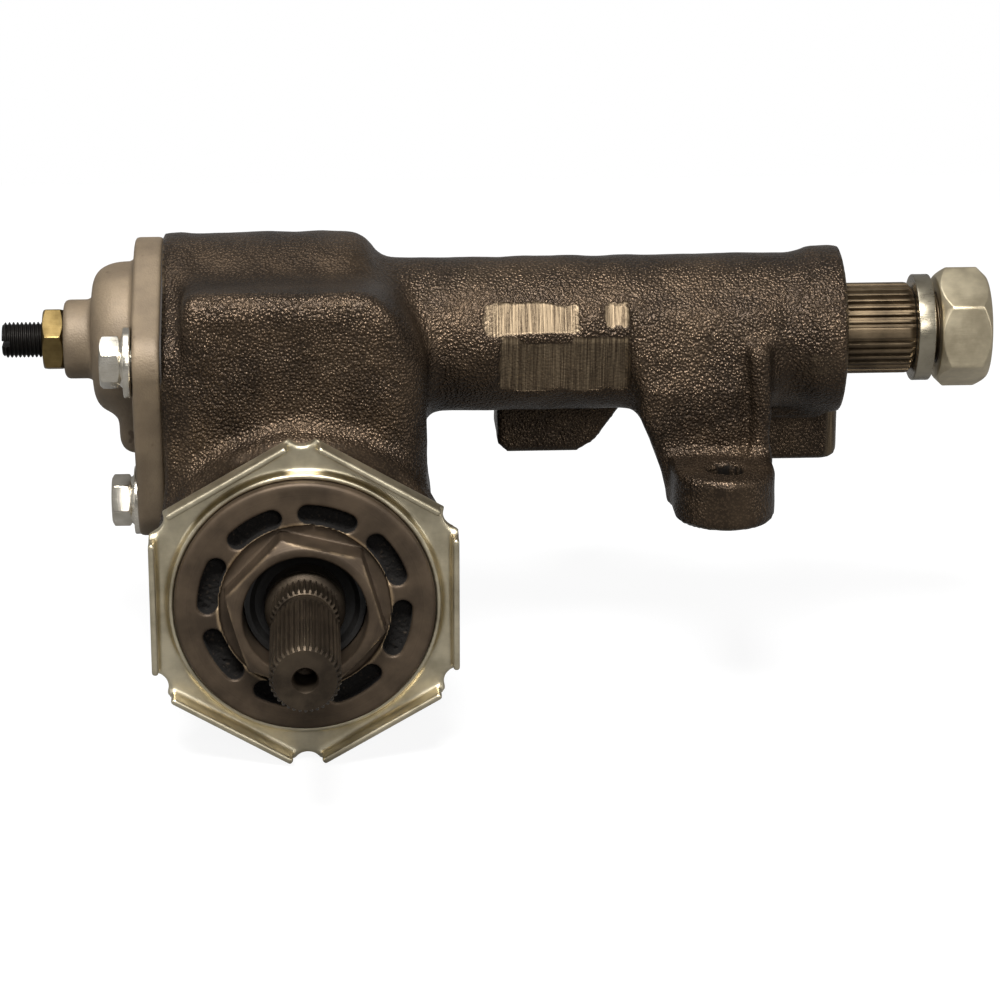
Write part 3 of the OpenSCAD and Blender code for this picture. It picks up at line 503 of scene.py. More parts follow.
def skin_piece(name: str, points: Array, quads: Array) -> bpy.types.Object:
    """Make a smooth object of a solid's skin, facing outwards.

    Args:
        name: Name of the piece.
        points: Points in the maker's frame.
        quads: Indices of each quad's points.
    Returns:
        The new object, with its points in the order given.
    """
    where = placed(points)
    a, b, c, d = (where[quads[:, k]] for k in range(4))
    volume = np.einsum("ij,ij->", np.cross(a, b), c) + np.einsum("ij,ij->", np.cross(a, c), d)
    if volume < 0:
        quads = quads[:, ::-1]
    mesh = bpy.data.meshes.new(name)
    mesh.from_pydata([tuple(p) for p in where], [], [tuple(q) for q in quads.tolist()])
    mesh.shade_smooth()
    return linked(name, mesh)


def linear(colour: Colour) -> tuple[float, float, float, float]:
    """Turn a screen colour into the renderer's own scale.

    Args:
        colour: Red, green and blue from 0 to 255.
    Returns:
        Red, green and blue from 0 to 1, and full cover.
    """
    def one(value: int) -> float:
        """Turn one channel."""
        v = value / 255
        return v / 12.92 if v <= 0.04045 else ((v + 0.055) / 1.055) ** 2.4

    red, green, blue = (one(value) for value in colour)
    return red, green, blue, 1.0


class Wire:
    """A node's output that can be used in sums."""

    def __init__(self, graph: "Graph", socket: bpy.types.NodeSocket) -> None:
        """Hold the output and the graph that it is in."""
        self.graph = graph
        self.socket = socket

    def sum(self, operation: str, first: "Wire | float", second: "Wire | float") -> "Wire":
        """Add a Math node for two values."""
        return self.graph.node("ShaderNodeMath", {"operation": operation}, {0: first, 1: second})

    def __add__(self, other: "Wire | float") -> "Wire":
        """Add a value."""
        return self.sum("ADD", self, other)

    def __radd__(self, other: float) -> "Wire":
        """Add to a number."""
        return self.sum("ADD", other, self)

    def __sub__(self, other: "Wire | float") -> "Wire":
        """Take a value away."""
        return self.sum("SUBTRACT", self, other)

    def __rsub__(self, other: float) -> "Wire":
        """Take from a number."""
        return self.sum("SUBTRACT", other, self)

    def __mul__(self, other: "Wire | float") -> "Wire":
        """Multiply by a value."""
        return self.sum("MULTIPLY", self, other)

    def __rmul__(self, other: float) -> "Wire":
        """Multiply a number."""
        return self.sum("MULTIPLY", other, self)

    def __truediv__(self, other: "Wire | float") -> "Wire":
        """Divide by a value."""
        return self.sum("DIVIDE", self, other)

    def least(self, other: "Wire | float") -> "Wire":
        """Take the smaller value."""
        return self.sum("MINIMUM", self, other)

    def most(self, other: "Wire | float") -> "Wire":
        """Take the larger value."""
        return self.sum("MAXIMUM", self, other)

    def fold(self, size: float) -> "Wire":
        """Run up and down between nothing and a size."""
        return self.sum("PINGPONG", self, size)

    def wave(self, operation: str) -> "Wire":
        """Take the SINE or COSINE."""
        return self.sum(operation, self, 0.0)

    def ease(self, low: float, high: float) -> "Wire":
        """Ease from 0 at low to 1 at high."""
        return self.graph.node(
            "ShaderNodeMapRange", {"interpolation_type": "SMOOTHSTEP"},
            {"Value": self, "From Min": low, "From Max": high},
        )


class Graph:
    """The nodes of one tree, all made by one method."""

    def __init__(self, tree: bpy.types.NodeTree) -> None:
        """Hold the tree."""
        self.tree = tree

    def node(self, kind: str, settings: dict | None = None, values: dict | None = None,
             out: int | str = 0) -> Wire:
        """Add a node.

        Args:
            kind: Type of the node.
            settings: The node's own settings, set first.
            values: Values or wires of its inputs, by index or name.
            out: Index or name of the output that is handed back.
        Returns:
            The output.
        """
        made = self.tree.nodes.new(kind)
        for key, value in (settings or {}).items():
            setattr(made, key, value)
        for key, value in (values or {}).items():
            wires = value if isinstance(value, list) else [value]
            for wire in wires:
                if isinstance(wire, Wire):
                    self.tree.links.new(wire.socket, made.inputs[key])
                else:
                    made.inputs[key].default_value = wire
        return Wire(self, made.outputs[out])

    def rays(self) -> tuple[Wire, Wire]:
        """Tell kinds of rays apart.

        Returns:
            Whether a ray is the camera's own, and whether metal or glass sent it on.
        """
        camera = self.node("ShaderNodeLightPath", out="Is Camera Ray")
        outputs = camera.socket.node.outputs
        sent_on = Wire(self, outputs["Is Glossy Ray"]).most(Wire(self, outputs["Is Transmission Ray"]))
        return camera, sent_on

    def hand_over(self, shape: Wire, material: Wire) -> None:
        """End a tree of Geometry Nodes with plain geometry in one finish.

        Args:
            shape: The geometry.
            material: The finish.
        """
        real = self.node("GeometryNodeRealizeInstances", {}, {"Geometry": shape})
        done = self.node("GeometryNodeSetMaterial", {}, {"Geometry": real, "Material": material})
        output = self.tree.nodes.new("NodeGroupOutput")
        self.tree.links.new(done.socket, output.inputs[0])


class Shade(Graph):
    """The shader nodes of one material."""

    def __init__(self, name: str) -> None:
        """Start a material with nothing in it but the object's coordinates.

        Args:
            name: Name of the material.
        """
        self.material = bpy.data.materials.new(name)
        self.material.use_nodes = True
        super().__init__(self.material.node_tree)
        self.tree.nodes.clear()
        self.place = self.node("ShaderNodeTexCoord", out="Object")

    def stretched(self, scale: tuple[float, float, float]) -> Wire:
        """Scale the object's coordinates by axis."""
        return self.node("ShaderNodeMapping", {}, {"Vector": self.place, "Scale": scale})

    def noise(self, scale: float, detail: float = 2.0, rough: float = 0.5,
              where: Wire | None = None) -> Wire:
        """Make a noise that has scale features to the metre.

        Args:
            scale: Features to the metre.
            detail: Finer layers.
            rough: Strength of the finer layers.
            where: Coordinates, the object's own if left out.
        Returns:
            Values of about 0 to 1.
        """
        return self.node(
            "ShaderNodeTexNoise", {},
            {"Vector": where or self.place, "Scale": scale, "Detail": detail, "Roughness": rough},
        )

    def pebbles(self, scale: float) -> Wire:
        """Make rounded grains.

        Args:
            scale: Grains to the metre.
        Returns:
            Values from 0 between the grains to 1 on top of them.
        """
        cells = self.node(
            "ShaderNodeTexVoronoi", {"feature": "SMOOTH_F1"},
            {"Vector": self.place, "Scale": scale, "Smoothness": 0.4}, out="Distance")
        return (1 - cells).most(0.0)

    def attribute(self, name: str) -> Wire:
        """Read a number stored on the piece's points."""
        return self.node("ShaderNodeAttribute", {"attribute_name": name}, out="Fac")

    def colour(self, first: Colour | Wire, second: Colour | Wire, share: Wire) -> Wire:
        """Mix two colours.

        Args:
            first: Colour where the share is 0.
            second: Colour where the share is 1.
            share: How much of the second.
        Returns:
            The mixed colour.
        """
        values = {
            6: first if isinstance(first, Wire) else linear(first),
            7: second if isinstance(second, Wire) else linear(second),
            0: share,
        }
        return self.node("ShaderNodeMix", {"data_type": "RGBA"}, values, out=2)

    def bump(self, height: Wire, distance: float, strength: float = 1.0) -> Wire:
        """Turn a height into a bent normal.

        Args:
            height: Height from 0 to 1.
            distance: Height of 1 in metres.
            strength: Share of the bend.
        Returns:
            The normal.
        """
        return self.node(
            "ShaderNodeBump", {}, {"Height": height, "Distance": distance, "Strength": strength},
            out="Normal")

    def finish(self, **sockets: object) -> bpy.types.Material:
        """Feed the surface shader and hand over the material.

        Args:
            sockets: Values or wires of the shader, with underscores for spaces.
        Returns:
            The material.
        """
        values = {key.replace("_", " "): value for key, value in sockets.items()}
        shader = self.node("ShaderNodeBsdfPrincipled", {}, values)
        self.node_output(shader)
        return self.material

    def node_output(self, shader: Wire) -> None:
        """Join a shader to the material's output."""
        output = self.tree.nodes.new("ShaderNodeOutputMaterial")
        self.tree.links.new(shader.socket, output.inputs["Surface"])


@dataclass(frozen=True)
class CastPaint:
    """Dark bronze coloured cast iron paint with a sandy grain, ground bare in places, with painted shade
    in its holes.
    """

    name: str = "cast_iron_paint"
    paint_dark: Colour = (38, 31, 25)
    paint_light: Colour = (110, 91, 71)
    ground_dark: Colour = (60, 48, 36)
    ground_light: Colour = (158, 139, 112)
    # Painted shade: near-black colour laid on the walls of the holes, where shade falls.
    hole: Colour = (10, 9, 8)
    grains: float = 1200
    specks: float = 2100
    blotches: float = 45
    ragged_edge: float = 220
    stroke_scale: Triple = (2800, 70, 55)
    grain_height: float = 0.00058
    metallic: float = 0.75
    specular: float = 0.25

    def material(self) -> bpy.types.Material:
        """Build the material, which reads the ground, machined, painted hole shade and grain marks of the
        piece.

        Returns:
            The material.
        """
        s = Shade(self.name)
        ground = s.attribute("ground")
        machined = s.attribute("machined")
        deep = s.attribute("deep")
        pebble = s.pebbles(self.grains)
        fine = s.noise(self.specks, 2, 0.6)
        patch = s.noise(self.blotches, 3, 0.6)
        strokes = s.noise(1, 4, 0.7, s.stretched(self.stroke_scale))
        tops = pebble.ease(0.45, 0.75)
        lightness = tops * 0.22 + patch.ease(0.3, 0.8) * 0.3 + fine * 0.12
        coat = s.colour(self.paint_dark, self.paint_light, lightness)
        bare = s.colour(self.ground_dark, self.ground_light, strokes.ease(0.3, 0.75))
        ragged = (ground * 1.6 + s.noise(self.ragged_edge, 3, 0.7) - 0.95).ease(0.0, 0.4)
        scuffed = (ragged * ground.ease(0.2, 0.9) * (0.55 + strokes * 0.9)).least(1.0)
        surface = s.colour(coat, bare, (scuffed + machined * 0.75).least(1.0))
        # Painted shade: the walls of the holes are darkened towards near black.
        surface = s.colour(surface, self.hole, deep * 0.9)
        sand = (pebble * 0.75 + fine * 0.25) * s.attribute("grain")
        sand = sand * (1 - scuffed) * (1 - machined) * (1 - deep)
        coat_rough = 0.25 + patch * 0.12 - tops * 0.06 + deep * 0.4
        rough = coat_rough * (1 - scuffed) + (0.36 + strokes * 0.2) * scuffed
        return s.finish(
            Base_Color=surface, Roughness=rough, Metallic=self.metallic,
            Normal=s.bump(sand + strokes * scuffed * 0.1, self.grain_height),
            Specular_IOR_Level=self.specular,
        )


@dataclass(frozen=True)
class CastMetal:
    """Bare cast metal with a fine skin, blotches and a few dark pits."""

    name: str
    dark: Colour
    light: Colour
    stain: Colour = (70, 56, 42)
    metallic: float = 0.4
    rough: float = 0.5
    skin_height: float = 0.0002

    def material(self) -> bpy.types.Material:
        """Build the material.

        Returns:
            The material.
        """
        s = Shade(self.name)
        blotch = s.noise(70, 4, 0.6)
        skin = s.noise(1800, 2, 0.6)
        pits = s.noise(210, 1.5, 0.4).ease(0.70, 0.78)
        colour = s.colour(self.dark, self.light, blotch.ease(0.25, 0.75) * 0.7 + skin * 0.3)
        stained = s.colour(colour, self.stain, pits * 0.7)
        return s.finish(
            Base_Color=stained, Roughness=self.rough + blotch * 0.14, Metallic=self.metallic,
            Normal=s.bump(skin - pits * 0.6, self.skin_height, 0.6),
        )


@dataclass(frozen=True)
class Plate:
    """Plated or ground metal with faint cloudy stains and fine scratches."""

    name: str
    dark: Colour
    light: Colour
    rough: float = 0.26
    metallic: float = 1.0
    scratch: Triple = (260, 260, 2400)
    scratch_height: float = 0.00006

    def material(self) -> bpy.types.Material:
        """Build the material.

        Returns:
            The material.
        """
        s = Shade(self.name)
        cloud = s.noise(90, 4, 0.6)
        lines = s.noise(1, 3, 0.6, s.stretched(self.scratch))
        colour = s.colour(self.dark, self.light, cloud.ease(0.28, 0.72) * 0.75 + lines * 0.25)
        return s.finish(
            Base_Color=colour, Roughness=self.rough + cloud * 0.12 + lines * 0.10,
            Metallic=self.metallic, Normal=s.bump(lines, self.scratch_height, 0.5),
        )


@dataclass(frozen=True)
class Dull:
    """A soft dull material such as rubber or gasket fibre."""

    name: str
    dark: Colour
    light: Colour
    rough: float = 0.5
    grain: float = 900
    grain_height: float = 0.0001

    def material(self) -> bpy.types.Material:
        """Build the material.

        Returns:
            The material.
        """
        s = Shade(self.name)
        speck = s.noise(self.grain, 3, 0.6)
        cloud = s.noise(60, 2, 0.5)
        colour = s.colour(self.dark, self.light, speck * 0.6 + cloud * 0.4)
        return s.finish(
            Base_Color=colour, Roughness=self.rough + speck * 0.15,
            Normal=s.bump(speck, self.grain_height, 0.5),
        )


@dataclass(frozen=True)
class TurnedIron:
    """Turned iron with fine rings about the worm, and rough cast slots darkened with painted shade."""

    name: str = "turned_iron"
    dark: Colour = (53, 44, 35)
    light: Colour = (90, 76, 61)
    # Near-black colour of the slots: rough cast surface darkened with painted shade in the recesses.
    cast: Colour = (15, 12, 9)
    bare: Colour = (176, 152, 120)
    rings: float = 2600
    specular: float = 0.3
    cast_height: float = 0.0009

    def material(self) -> bpy.types.Material:
        """Build the material, which reads the cast slot mark, also used for painted shade, and the worn
        mark of the piece.

        Returns:
            The material.
        """
        s = Shade(self.name)
        centre = placed(np.array([0.0, 0.0, -CENTRES]))
        across = s.node("ShaderNodeMapping", {"vector_type": "POINT"}, {
            "Vector": s.place, "Location": (-centre[0], 0.0, -centre[2]), "Scale": (1.0, 0.0, 1.0)})
        radius = s.node("ShaderNodeVectorMath", {"operation": "LENGTH"}, {0: across}, out="Value")
        line = s.node("ShaderNodeCombineXYZ", {}, {0: radius * self.rings, 1: 0.0, 2: 0.0})
        rings = s.noise(1, 2, 0.6, line)
        cast = s.attribute("cast")
        cloud = s.noise(80, 4, 0.6)
        pebble = s.noise(750, 2.5, 0.6)
        turned = s.colour(self.dark, self.light, cloud.ease(0.3, 0.7) * 0.6 + rings * 0.4)
        worn = s.attribute("worn") * s.noise(260, 3, 0.7).ease(0.28, 0.5)
        edged = s.colour(turned, self.bare, worn * 0.8)
        # Painted shade: the cast slots are darkened towards near black, a little less on the grains.
        colour = s.colour(edged, self.cast, cast * (1 - pebble.ease(0.55, 0.8) * 0.5))
        height = rings * 0.05 * (1 - cast) + pebble * cast
        return s.finish(
            Base_Color=colour, Roughness=0.44 + cloud * 0.12 + cast * 0.4, Metallic=0.6 - cast * 0.5,
            Normal=s.bump(height, self.cast_height, 0.7), Specular_IOR_Level=self.specular,
        )


class Finishes:
    """Every finish of the gearbox, each made once."""

    def __init__(self) -> None:
        """Build the materials."""
        along_x = (120, 1800, 1800)
        along_y = (1800, 120, 1800)
        self.cast_iron = CastPaint().material()
        self.aluminium = CastMetal("cast_aluminium", (98, 85, 69), (131, 115, 93)).material()
        self.turned_iron = TurnedIron().material()
        self.zinc = Plate("bright_zinc", (190, 182, 166), (242, 235, 221), 0.14).material()
        self.stamped = Plate("stamped_zinc", (166, 156, 132), (214, 203, 176), 0.3).material()
        self.nut_zinc = Plate("nut_zinc", (182, 168, 140), (234, 220, 188), 0.26).material()
        self.washer_zinc = Plate("washer_zinc", (128, 120, 103), (180, 171, 151), 0.17).material()
        self.yellow = Plate("yellow_zinc", (84, 69, 39), (142, 121, 78), 0.27).material()
        self.black = Plate("black_oxide", (16, 15, 14), (38, 35, 32), 0.32, 0.8).material()
        self.shaft = Plate(
            "oiled_shaft_steel", (58, 48, 36), (118, 102, 80), 0.3, 0.9, along_x).material()
        self.worm = Plate("worm_steel", (43, 36, 29), (80, 69, 56), 0.36, 0.85, along_y).material()
        self.ground = Plate("ground_steel", (130, 126, 118), (176, 172, 164), 0.2).material()
        self.bearing = Plate("bearing_steel", (170, 170, 170), (205, 205, 204), 0.12).material()
        self.bronze = Plate("bushing_bronze", (120, 82, 42), (176, 130, 74), 0.3).material()
        self.brass = Plate("cage_brass", (140, 108, 52), (190, 156, 88), 0.28).material()
        self.rubber = Dull("seal_rubber", (14, 13, 12), (30, 28, 26), 0.4).material()
        self.fibre = Dull("gasket_fibre", (20, 17, 15), (52, 44, 37), 0.7, 1400).material()


def dress(piece: bpy.types.Object, body: Body, material: bpy.types.Material, slot: str,
          *nodes: str) -> None:
    """Give a piece its finish and its body, and hide the solids that it stands for.

    Args:
        piece: The piece.
        body: Body that it moves with.
        material: Its finish.
        slot: Name of the finish's slot; not used.
        nodes: Solids that it stands for.
    """
    piece.data.materials.clear()
    piece.data.materials.append(material)
    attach(piece, body.value)
    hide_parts(*nodes)
    LOG.info("%s: %d faces on %s", piece.name, len(piece.data.polygons), body.value)


@dataclass
class Housing:
    """The cast iron housing: chamber, worm barrel, sector shaft tube, front boss and rear pads."""

    cell: float = 1.42
    low: Triple = (-46, -72, -109)
    high: Triple = (173, 80, 38)
    roof_r: float = 32.7
    crown_x: float = 13.6
    crown_share: float = 0.63
    slope_turn: float = 60.0
    tube_r: float = 24.0
    collar_r: float = 26.3
    tube_end: float = 169.0
    face_x: float = -41.8
    flange_t: float = 6.0
    web_t: float = 13.0
    half_y: float = 52.0
    right_x: float = 38.0
    floor_z: float = -70.0
    shoulder_z: float = 26.0
    rear_shoulder_z: float = 17.0
    barrel_r: float = 40.4
    barrel_end: float = 69.6
    rear_r: float = 27.5
    rear_end: float = 75.5
    front_collar_r: float = 43.0
    front_collar_end: float = -68.1
    flare_r: float = 46.0
    flare_from: float = -57.0
    flare_to: float = -46.0
    pad_z: float = -48.0
    boss_half: float = 15.5
    boss_t: float = 15.7
    pad_half: float = 14.6
    hole_r: float = 5.55
    bolt_hole_r: float = 4.85
    crown_room_r: float = 25.7
    neck_room_r: float = 19.7
    sector_room_r: float = 43.6
    worm_room_r: float = 31.0
    nut_room_half: float = 18.7
    adjuster_bore_r: float = 39.2
    bearing_bore_r: float = 21.6
    bush_bore_r: float = 18.2
    seal_bore_r: float = 20.65
    front_pad: Pair = (129.0, -42.0)
    inner_pad: Pair = (77.5, 42.0)
    outer_pad: Pair = (158.0, 29.0)
    cover_bolts: tuple[Pair, ...] = ((-38.0, 3.0), (38.0, 3.0), (0.0, -53.1))
    flange_discs: tuple[Triple, ...] = (
        (0.0, -53.1, 10.5), (18.0, -42.1, 16.0), (38.0, 3.0, 11.0),
        (0.0, 0.0, 31.5), (-38.0, 3.0, 11.0), (-18.0, -42.1, 16.0),
    )
    ground_flats: tuple[tuple[float, float, float, float], ...] = (
        (-12, 22.0, 61, 101), (25, 23.25, 56, 86), (27, 23.5, 93.5, 101),
    )

    def roof_radius(self, x: Array) -> Array:
        """Give the radius of the roof, the slope and the tube along the sector line.

        Args:
            x: Places along the line.
        Returns:
            The radii.
        """
        step = self.roof_r - self.tube_r
        crown = step * 2 * self.crown_share
        foot = step * 2 * (1 - self.crown_share)
        foot_x = self.crown_x + (crown + foot) * math.sin(math.radians(self.slope_turn))
        up = np.radians(np.linspace(0, self.slope_turn, 12))
        down = np.radians(np.linspace(180 + self.slope_turn, 180, 12))
        xs = np.concatenate([
            [-60, -12], self.crown_x + crown * np.sin(up), foot_x + foot * np.sin(down),
            [153, 156.5, 159.5, self.tube_end + 5],
        ])
        rs = np.concatenate([
            [self.roof_r - 0.4, self.roof_r], self.roof_r - crown + crown * np.cos(up),
            self.tube_r + foot + foot * np.cos(down),
            [self.tube_r + 0.2, self.tube_r + 1.0, self.collar_r, self.collar_r],
        ])
        return np.interp(x, xs, rs).astype(np.float32)

    def chamber(self, b: Solid) -> Array:
        """Shape the chamber, its roof and the cover flange.

        Args:
            b: Block that the housing is drawn from.
        Returns:
            The distance to them.
        """
        rho = np.hypot(b.y, b.z)
        roof = common(rho - self.roof_radius(b.x), slab(b.x, self.face_x, self.tube_end), 1.6)
        side = outline_distance(b.y, b.z, belt([
            (8 - self.half_y, self.floor_z, 8), (self.half_y - 8, self.floor_z, 8),
            (self.half_y - 8, self.rear_shoulder_z - 8, 8), (8 - self.half_y, self.shoulder_z - 8, 8),
        ]))
        left = self.face_x + self.flange_t + 3
        right = self.right_x - 14
        plan = outline_distance(b.x, b.y, belt([
            (left, 3 - self.half_y, 3), (right, 14 - self.half_y, 14),
            (right, self.half_y - 14, 14), (left, self.half_y - 3, 3),
        ]))
        slope = (b.x - self.right_x + 14) * 0.79 + (b.z - self.shoulder_z) * 0.61
        rear_slope = ((b.x - 16) * 0.55 + b.y * 0.31 + b.z * 0.95 - 29.5) * 0.87
        block = common(common(common(side, plan, 5), slope, 7), rear_slope, 6)
        block = common(block, self.floor_z - b.z, 4)
        flange = outline_distance(b.y, b.z, belt(self.flange_discs))
        plate = common(flange, slab(b.x, self.face_x, self.face_x + self.flange_t), 1.2)
        web = common(
            round_rect(b.y, b.z, (3 - self.half_y, -66), (self.half_y - 3, 3), 6),
            slab(b.x, self.face_x, self.face_x + self.web_t), 3)
        return fuse(fuse(roof, block, 6), fuse(plate, web, 3), 2.5)

    def barrel(self, b: Solid) -> Array:
        """Shape the worm barrel, its closed end, and the collar and the flare at its mouth.

        Args:
            b: Block that the housing is drawn from.
        Returns:
            The distance to them.
        """
        rho = np.hypot(b.x, b.z + CENTRES)
        tube = common(rho - self.barrel_r, slab(b.y, 10 - self.half_y, self.barrel_end), 16)
        rear = common(rho - self.rear_r, slab(b.y, 0, self.rear_end), 4)
        mouth = slab(b.y, self.front_collar_end, 6 - self.half_y)
        collar = common(rho - self.front_collar_r, mouth, 1.4)
        flare = common(rho - self.flare_r, slab(b.y, self.flare_from, self.flare_to), 3)
        return fuse(fuse(tube, rear, 6), fuse(collar, flare, 5), 6)

    def front_pylon(self, b: Solid) -> Array:
        """Shape the web and the round boss of the front pad.

        Args:
            b: Block that the housing is drawn from.
        Returns:
            The distance to them.
        """
        x0 = self.front_pad[0] - self.boss_half
        x1 = self.front_pad[0] + self.boss_half
        face = outline_distance(b.x, b.z, [
            (x0 - 10, 12), (x0 - 9, -21), (x0, self.pad_z + 4), (x0 + 1, self.pad_z),
            (x1, self.pad_z), (x1 + 0.5, 12),
        ])
        side = outline_distance(b.y, b.z, [
            (-28, self.pad_z), (-12, self.pad_z), (-12, 12), (-21, 12), (-28, -12)])
        web = common(face, side, 3.5)
        rib = common(slab(b.x, x1 - 6.5, x1), slab(b.y, -30.5, -12), 2.4)
        rib = common(rib, slab(b.z, self.pad_z + 10, 2), 3)
        round_boss = np.hypot(b.x - self.front_pad[0], b.y - self.front_pad[1]) - self.boss_half
        bridge = round_rect(b.x, b.y, (x0, self.front_pad[1]), (x1, -24), 1.0)
        boss = common(
            np.minimum(round_boss, bridge), slab(b.z, self.pad_z, self.pad_z + self.boss_t), 1.8)
        groove = np.hypot(b.x - x1 + 7.6, b.y + 28.6) - 1.7
        return fuse(cut(fuse(web, rib, 1.5), np.maximum(groove, slab(b.z, -39, -9)), 1.2), boss, 4)

    def rear_pads(self, b: Solid) -> Array:
        """Shape the two rear pads and their webs.

        Args:
            b: Block that the housing is drawn from.
        Returns:
            The distance to them.
        """
        half = self.pad_half
        x0 = self.inner_pad[0] - half
        x1 = self.inner_pad[0] + half
        face = outline_distance(b.x, b.z, [
            (x0, self.pad_z + 3), (x0 + 3, self.pad_z), (x1 - 3, self.pad_z), (x1 + 2, self.pad_z + 3),
            (x1 + 14, self.pad_z + 19), (x1 + 14, -6), (x0, -6),
        ])
        inner = common(face, slab(b.y, self.inner_pad[1] - half, self.inner_pad[1] + half), 2)
        web = common(common(face, self.pad_z + 20 - b.z, 3), slab(b.y, 12, self.inner_pad[1]), 3)
        pad = round_rect(
            b.x, b.y, (self.outer_pad[0] - half, self.outer_pad[1] - half),
            (self.outer_pad[0] + half, self.outer_pad[1] + half), 6)
        outer = common(pad, slab(b.z, self.pad_z, -6), 2.5)
        arm = round_rect(b.x, b.z, (143.4, self.pad_z + 18), (166.6, -4), 4)
        arm = common(arm, slab(b.y, 0, self.outer_pad[1]), 3)
        return np.minimum(fuse(inner, web, 3), fuse(outer, arm, 4))

    def rooms(self, b: Solid) -> Array:
        """Shape the rooms and bores inside.

        Args:
            b: Block that the housing is drawn from.
        Returns:
            The distance to them.
        """
        rho_x = np.hypot(b.y, b.z)
        rho_y = np.hypot(b.x, b.z + CENTRES)
        crown = np.minimum(np.maximum(rho_x - self.crown_room_r, b.x - 19), rho_x - self.neck_room_r)
        sweep = np.minimum(crown, np.maximum(rho_x - self.sector_room_r, b.z + 4))
        window = outline_distance(b.y, b.z, belt([(-15, -36.1, 7), (15, -36.1, 7), (0, 0, 24.2)]))
        nut_room = np.maximum(
            slab(b.x, -self.nut_room_half, self.nut_room_half), slab(b.z, -CENTRES, -32.7))
        inside = FAR
        for room, along, start, end in (
            (sweep, b.x, -20, 29),
            (window, b.x, self.face_x - 2, -18),
            (rho_y - self.worm_room_r, b.y, -60, 57),
            (nut_room, b.y, -60, 57),
            (rho_y - self.adjuster_bore_r, b.y, self.front_collar_end - 3, -55.5),
            (rho_y - self.bearing_bore_r, b.y, 50, 67.6),
            (rho_x - self.bush_bore_r, b.x, 20, self.tube_end + 3),
            (rho_x - self.seal_bore_r, b.x, self.tube_end - 12, self.tube_end + 3),
        ):
            inside = np.minimum(inside, np.maximum(room, slab(along, start, end)))
        return inside

    def holes(self, b: Solid) -> Array:
        """Shape the frame bolt holes and the cover bolt holes.

        Args:
            b: Block that the housing is drawn from.
        Returns:
            The distance to them.
        """
        found = FAR
        for pad, depth in ((self.front_pad, 20.0), (self.inner_pad, 22.0), (self.outer_pad, 22.0)):
            hole = np.hypot(b.x - pad[0], b.y - pad[1]) - self.hole_r
            found = np.minimum(found, np.maximum(hole, slab(b.z, self.pad_z - 3, self.pad_z + depth)))
        for y, z in self.cover_bolts:
            hole = np.hypot(b.y - y, b.z - z) - self.bolt_hole_r
            found = np.minimum(found, np.maximum(hole, slab(b.x, self.face_x - 3, -31)))
        return found

    def grinding(self, b: Solid) -> Array:
        """Shape what a grinder took off the tube's front.

        Args:
            b: Block that the housing is drawn from.
        Returns:
            The distance to it.
        """
        taken = FAR
        for turn, depth, start, end in self.ground_flats:
            a = math.radians(turn)
            out = -b.y * math.cos(a) + b.z * math.sin(a)
            taken = np.minimum(taken, np.maximum(depth - out, slab(b.x, start, end)))
        return taken

    def build(self, finishes: Finishes) -> None:
        """Make the housing.

        Args:
            finishes: The gearbox's finishes.
        """
        b = Solid(self.low, self.high, self.cell)
        body = fuse(self.chamber(b), self.barrel(b), 6)
        body = fuse(body, self.front_pylon(b), 6)
        body = fuse(body, self.rear_pads(b), 4)
        uneven = ripple(b, 13, 4) * 0.16 + ripple(b, 5, 9) * 0.05
        raw = slab(b.x, self.face_x + 2, self.tube_end - 1.5)
        under = self.pad_z + 1.5 - b.z - 60 * (b.x < 50)
        raw = np.maximum(raw, np.maximum(under, self.front_collar_end + 2 - b.y))
        body = body + uneven * smoothstep(0, 3, -raw)
        rooms = self.rooms(b)
        hollows = np.minimum(rooms, self.holes(b))
        points, quads = b.skin(cut(cut(body, self.grinding(b), 0.5), hollows, 0.9))
        piece = skin_piece("cast_housing", points, quads)
        self.mark(piece, b, points, body, hollows, rooms)
        dress(piece, Body.HOUSING, finishes.cast_iron, "cast_iron", "housing")

    def mark(self, piece: bpy.types.Object, b: Solid, points: Array, body: Array, hollows: Array,
             rooms: Array) -> None:
        """Store where the casting is ground, machined and grainy, and where its holes get painted shade.

        Args:
            piece: The housing.
            b: The block that it was drawn from.
            points: Its points in the maker's frame.
            body: Distance to the casting before grinding.
            hollows: Distance to the rooms and the holes.
            rooms: Distance to the rooms alone.
        """
        x, y, z = points.T
        angle = np.arctan2(z, -y)
        turn = np.degrees(angle)
        in_room = b.at(np.abs(rooms), points) < 0.3
        in_hole = (b.at(np.abs(hollows), points) < 0.5) & ~in_room
        paint(piece, "ground", self.ground_share(b, points, body, hollows, turn))
        # Painted shade: marks the walls of the holes for darkening.
        paint(piece, "deep", np.where(in_hole, 1.0, 0.0))
        near = 0.5
        seat = outline_distance(y, z, belt(self.flange_discs)) < near
        faces = (x > self.tube_end - near) | (y < self.front_collar_end + near)
        faces |= (seat & (x < self.face_x + near)) | ((z < self.pad_z + near) & (x > 55))
        paint(piece, "machined", np.where(in_room | faces, 1.0, 0.0))
        crown = np.exp(-((angle - 0.9) / 0.35) ** 2) * (x < 30) * (z > 20)
        neck = smoothstep(-54, -58, y)
        paint(piece, "grain", (1 - 0.6 * crown) * (1 - 0.85 * neck))

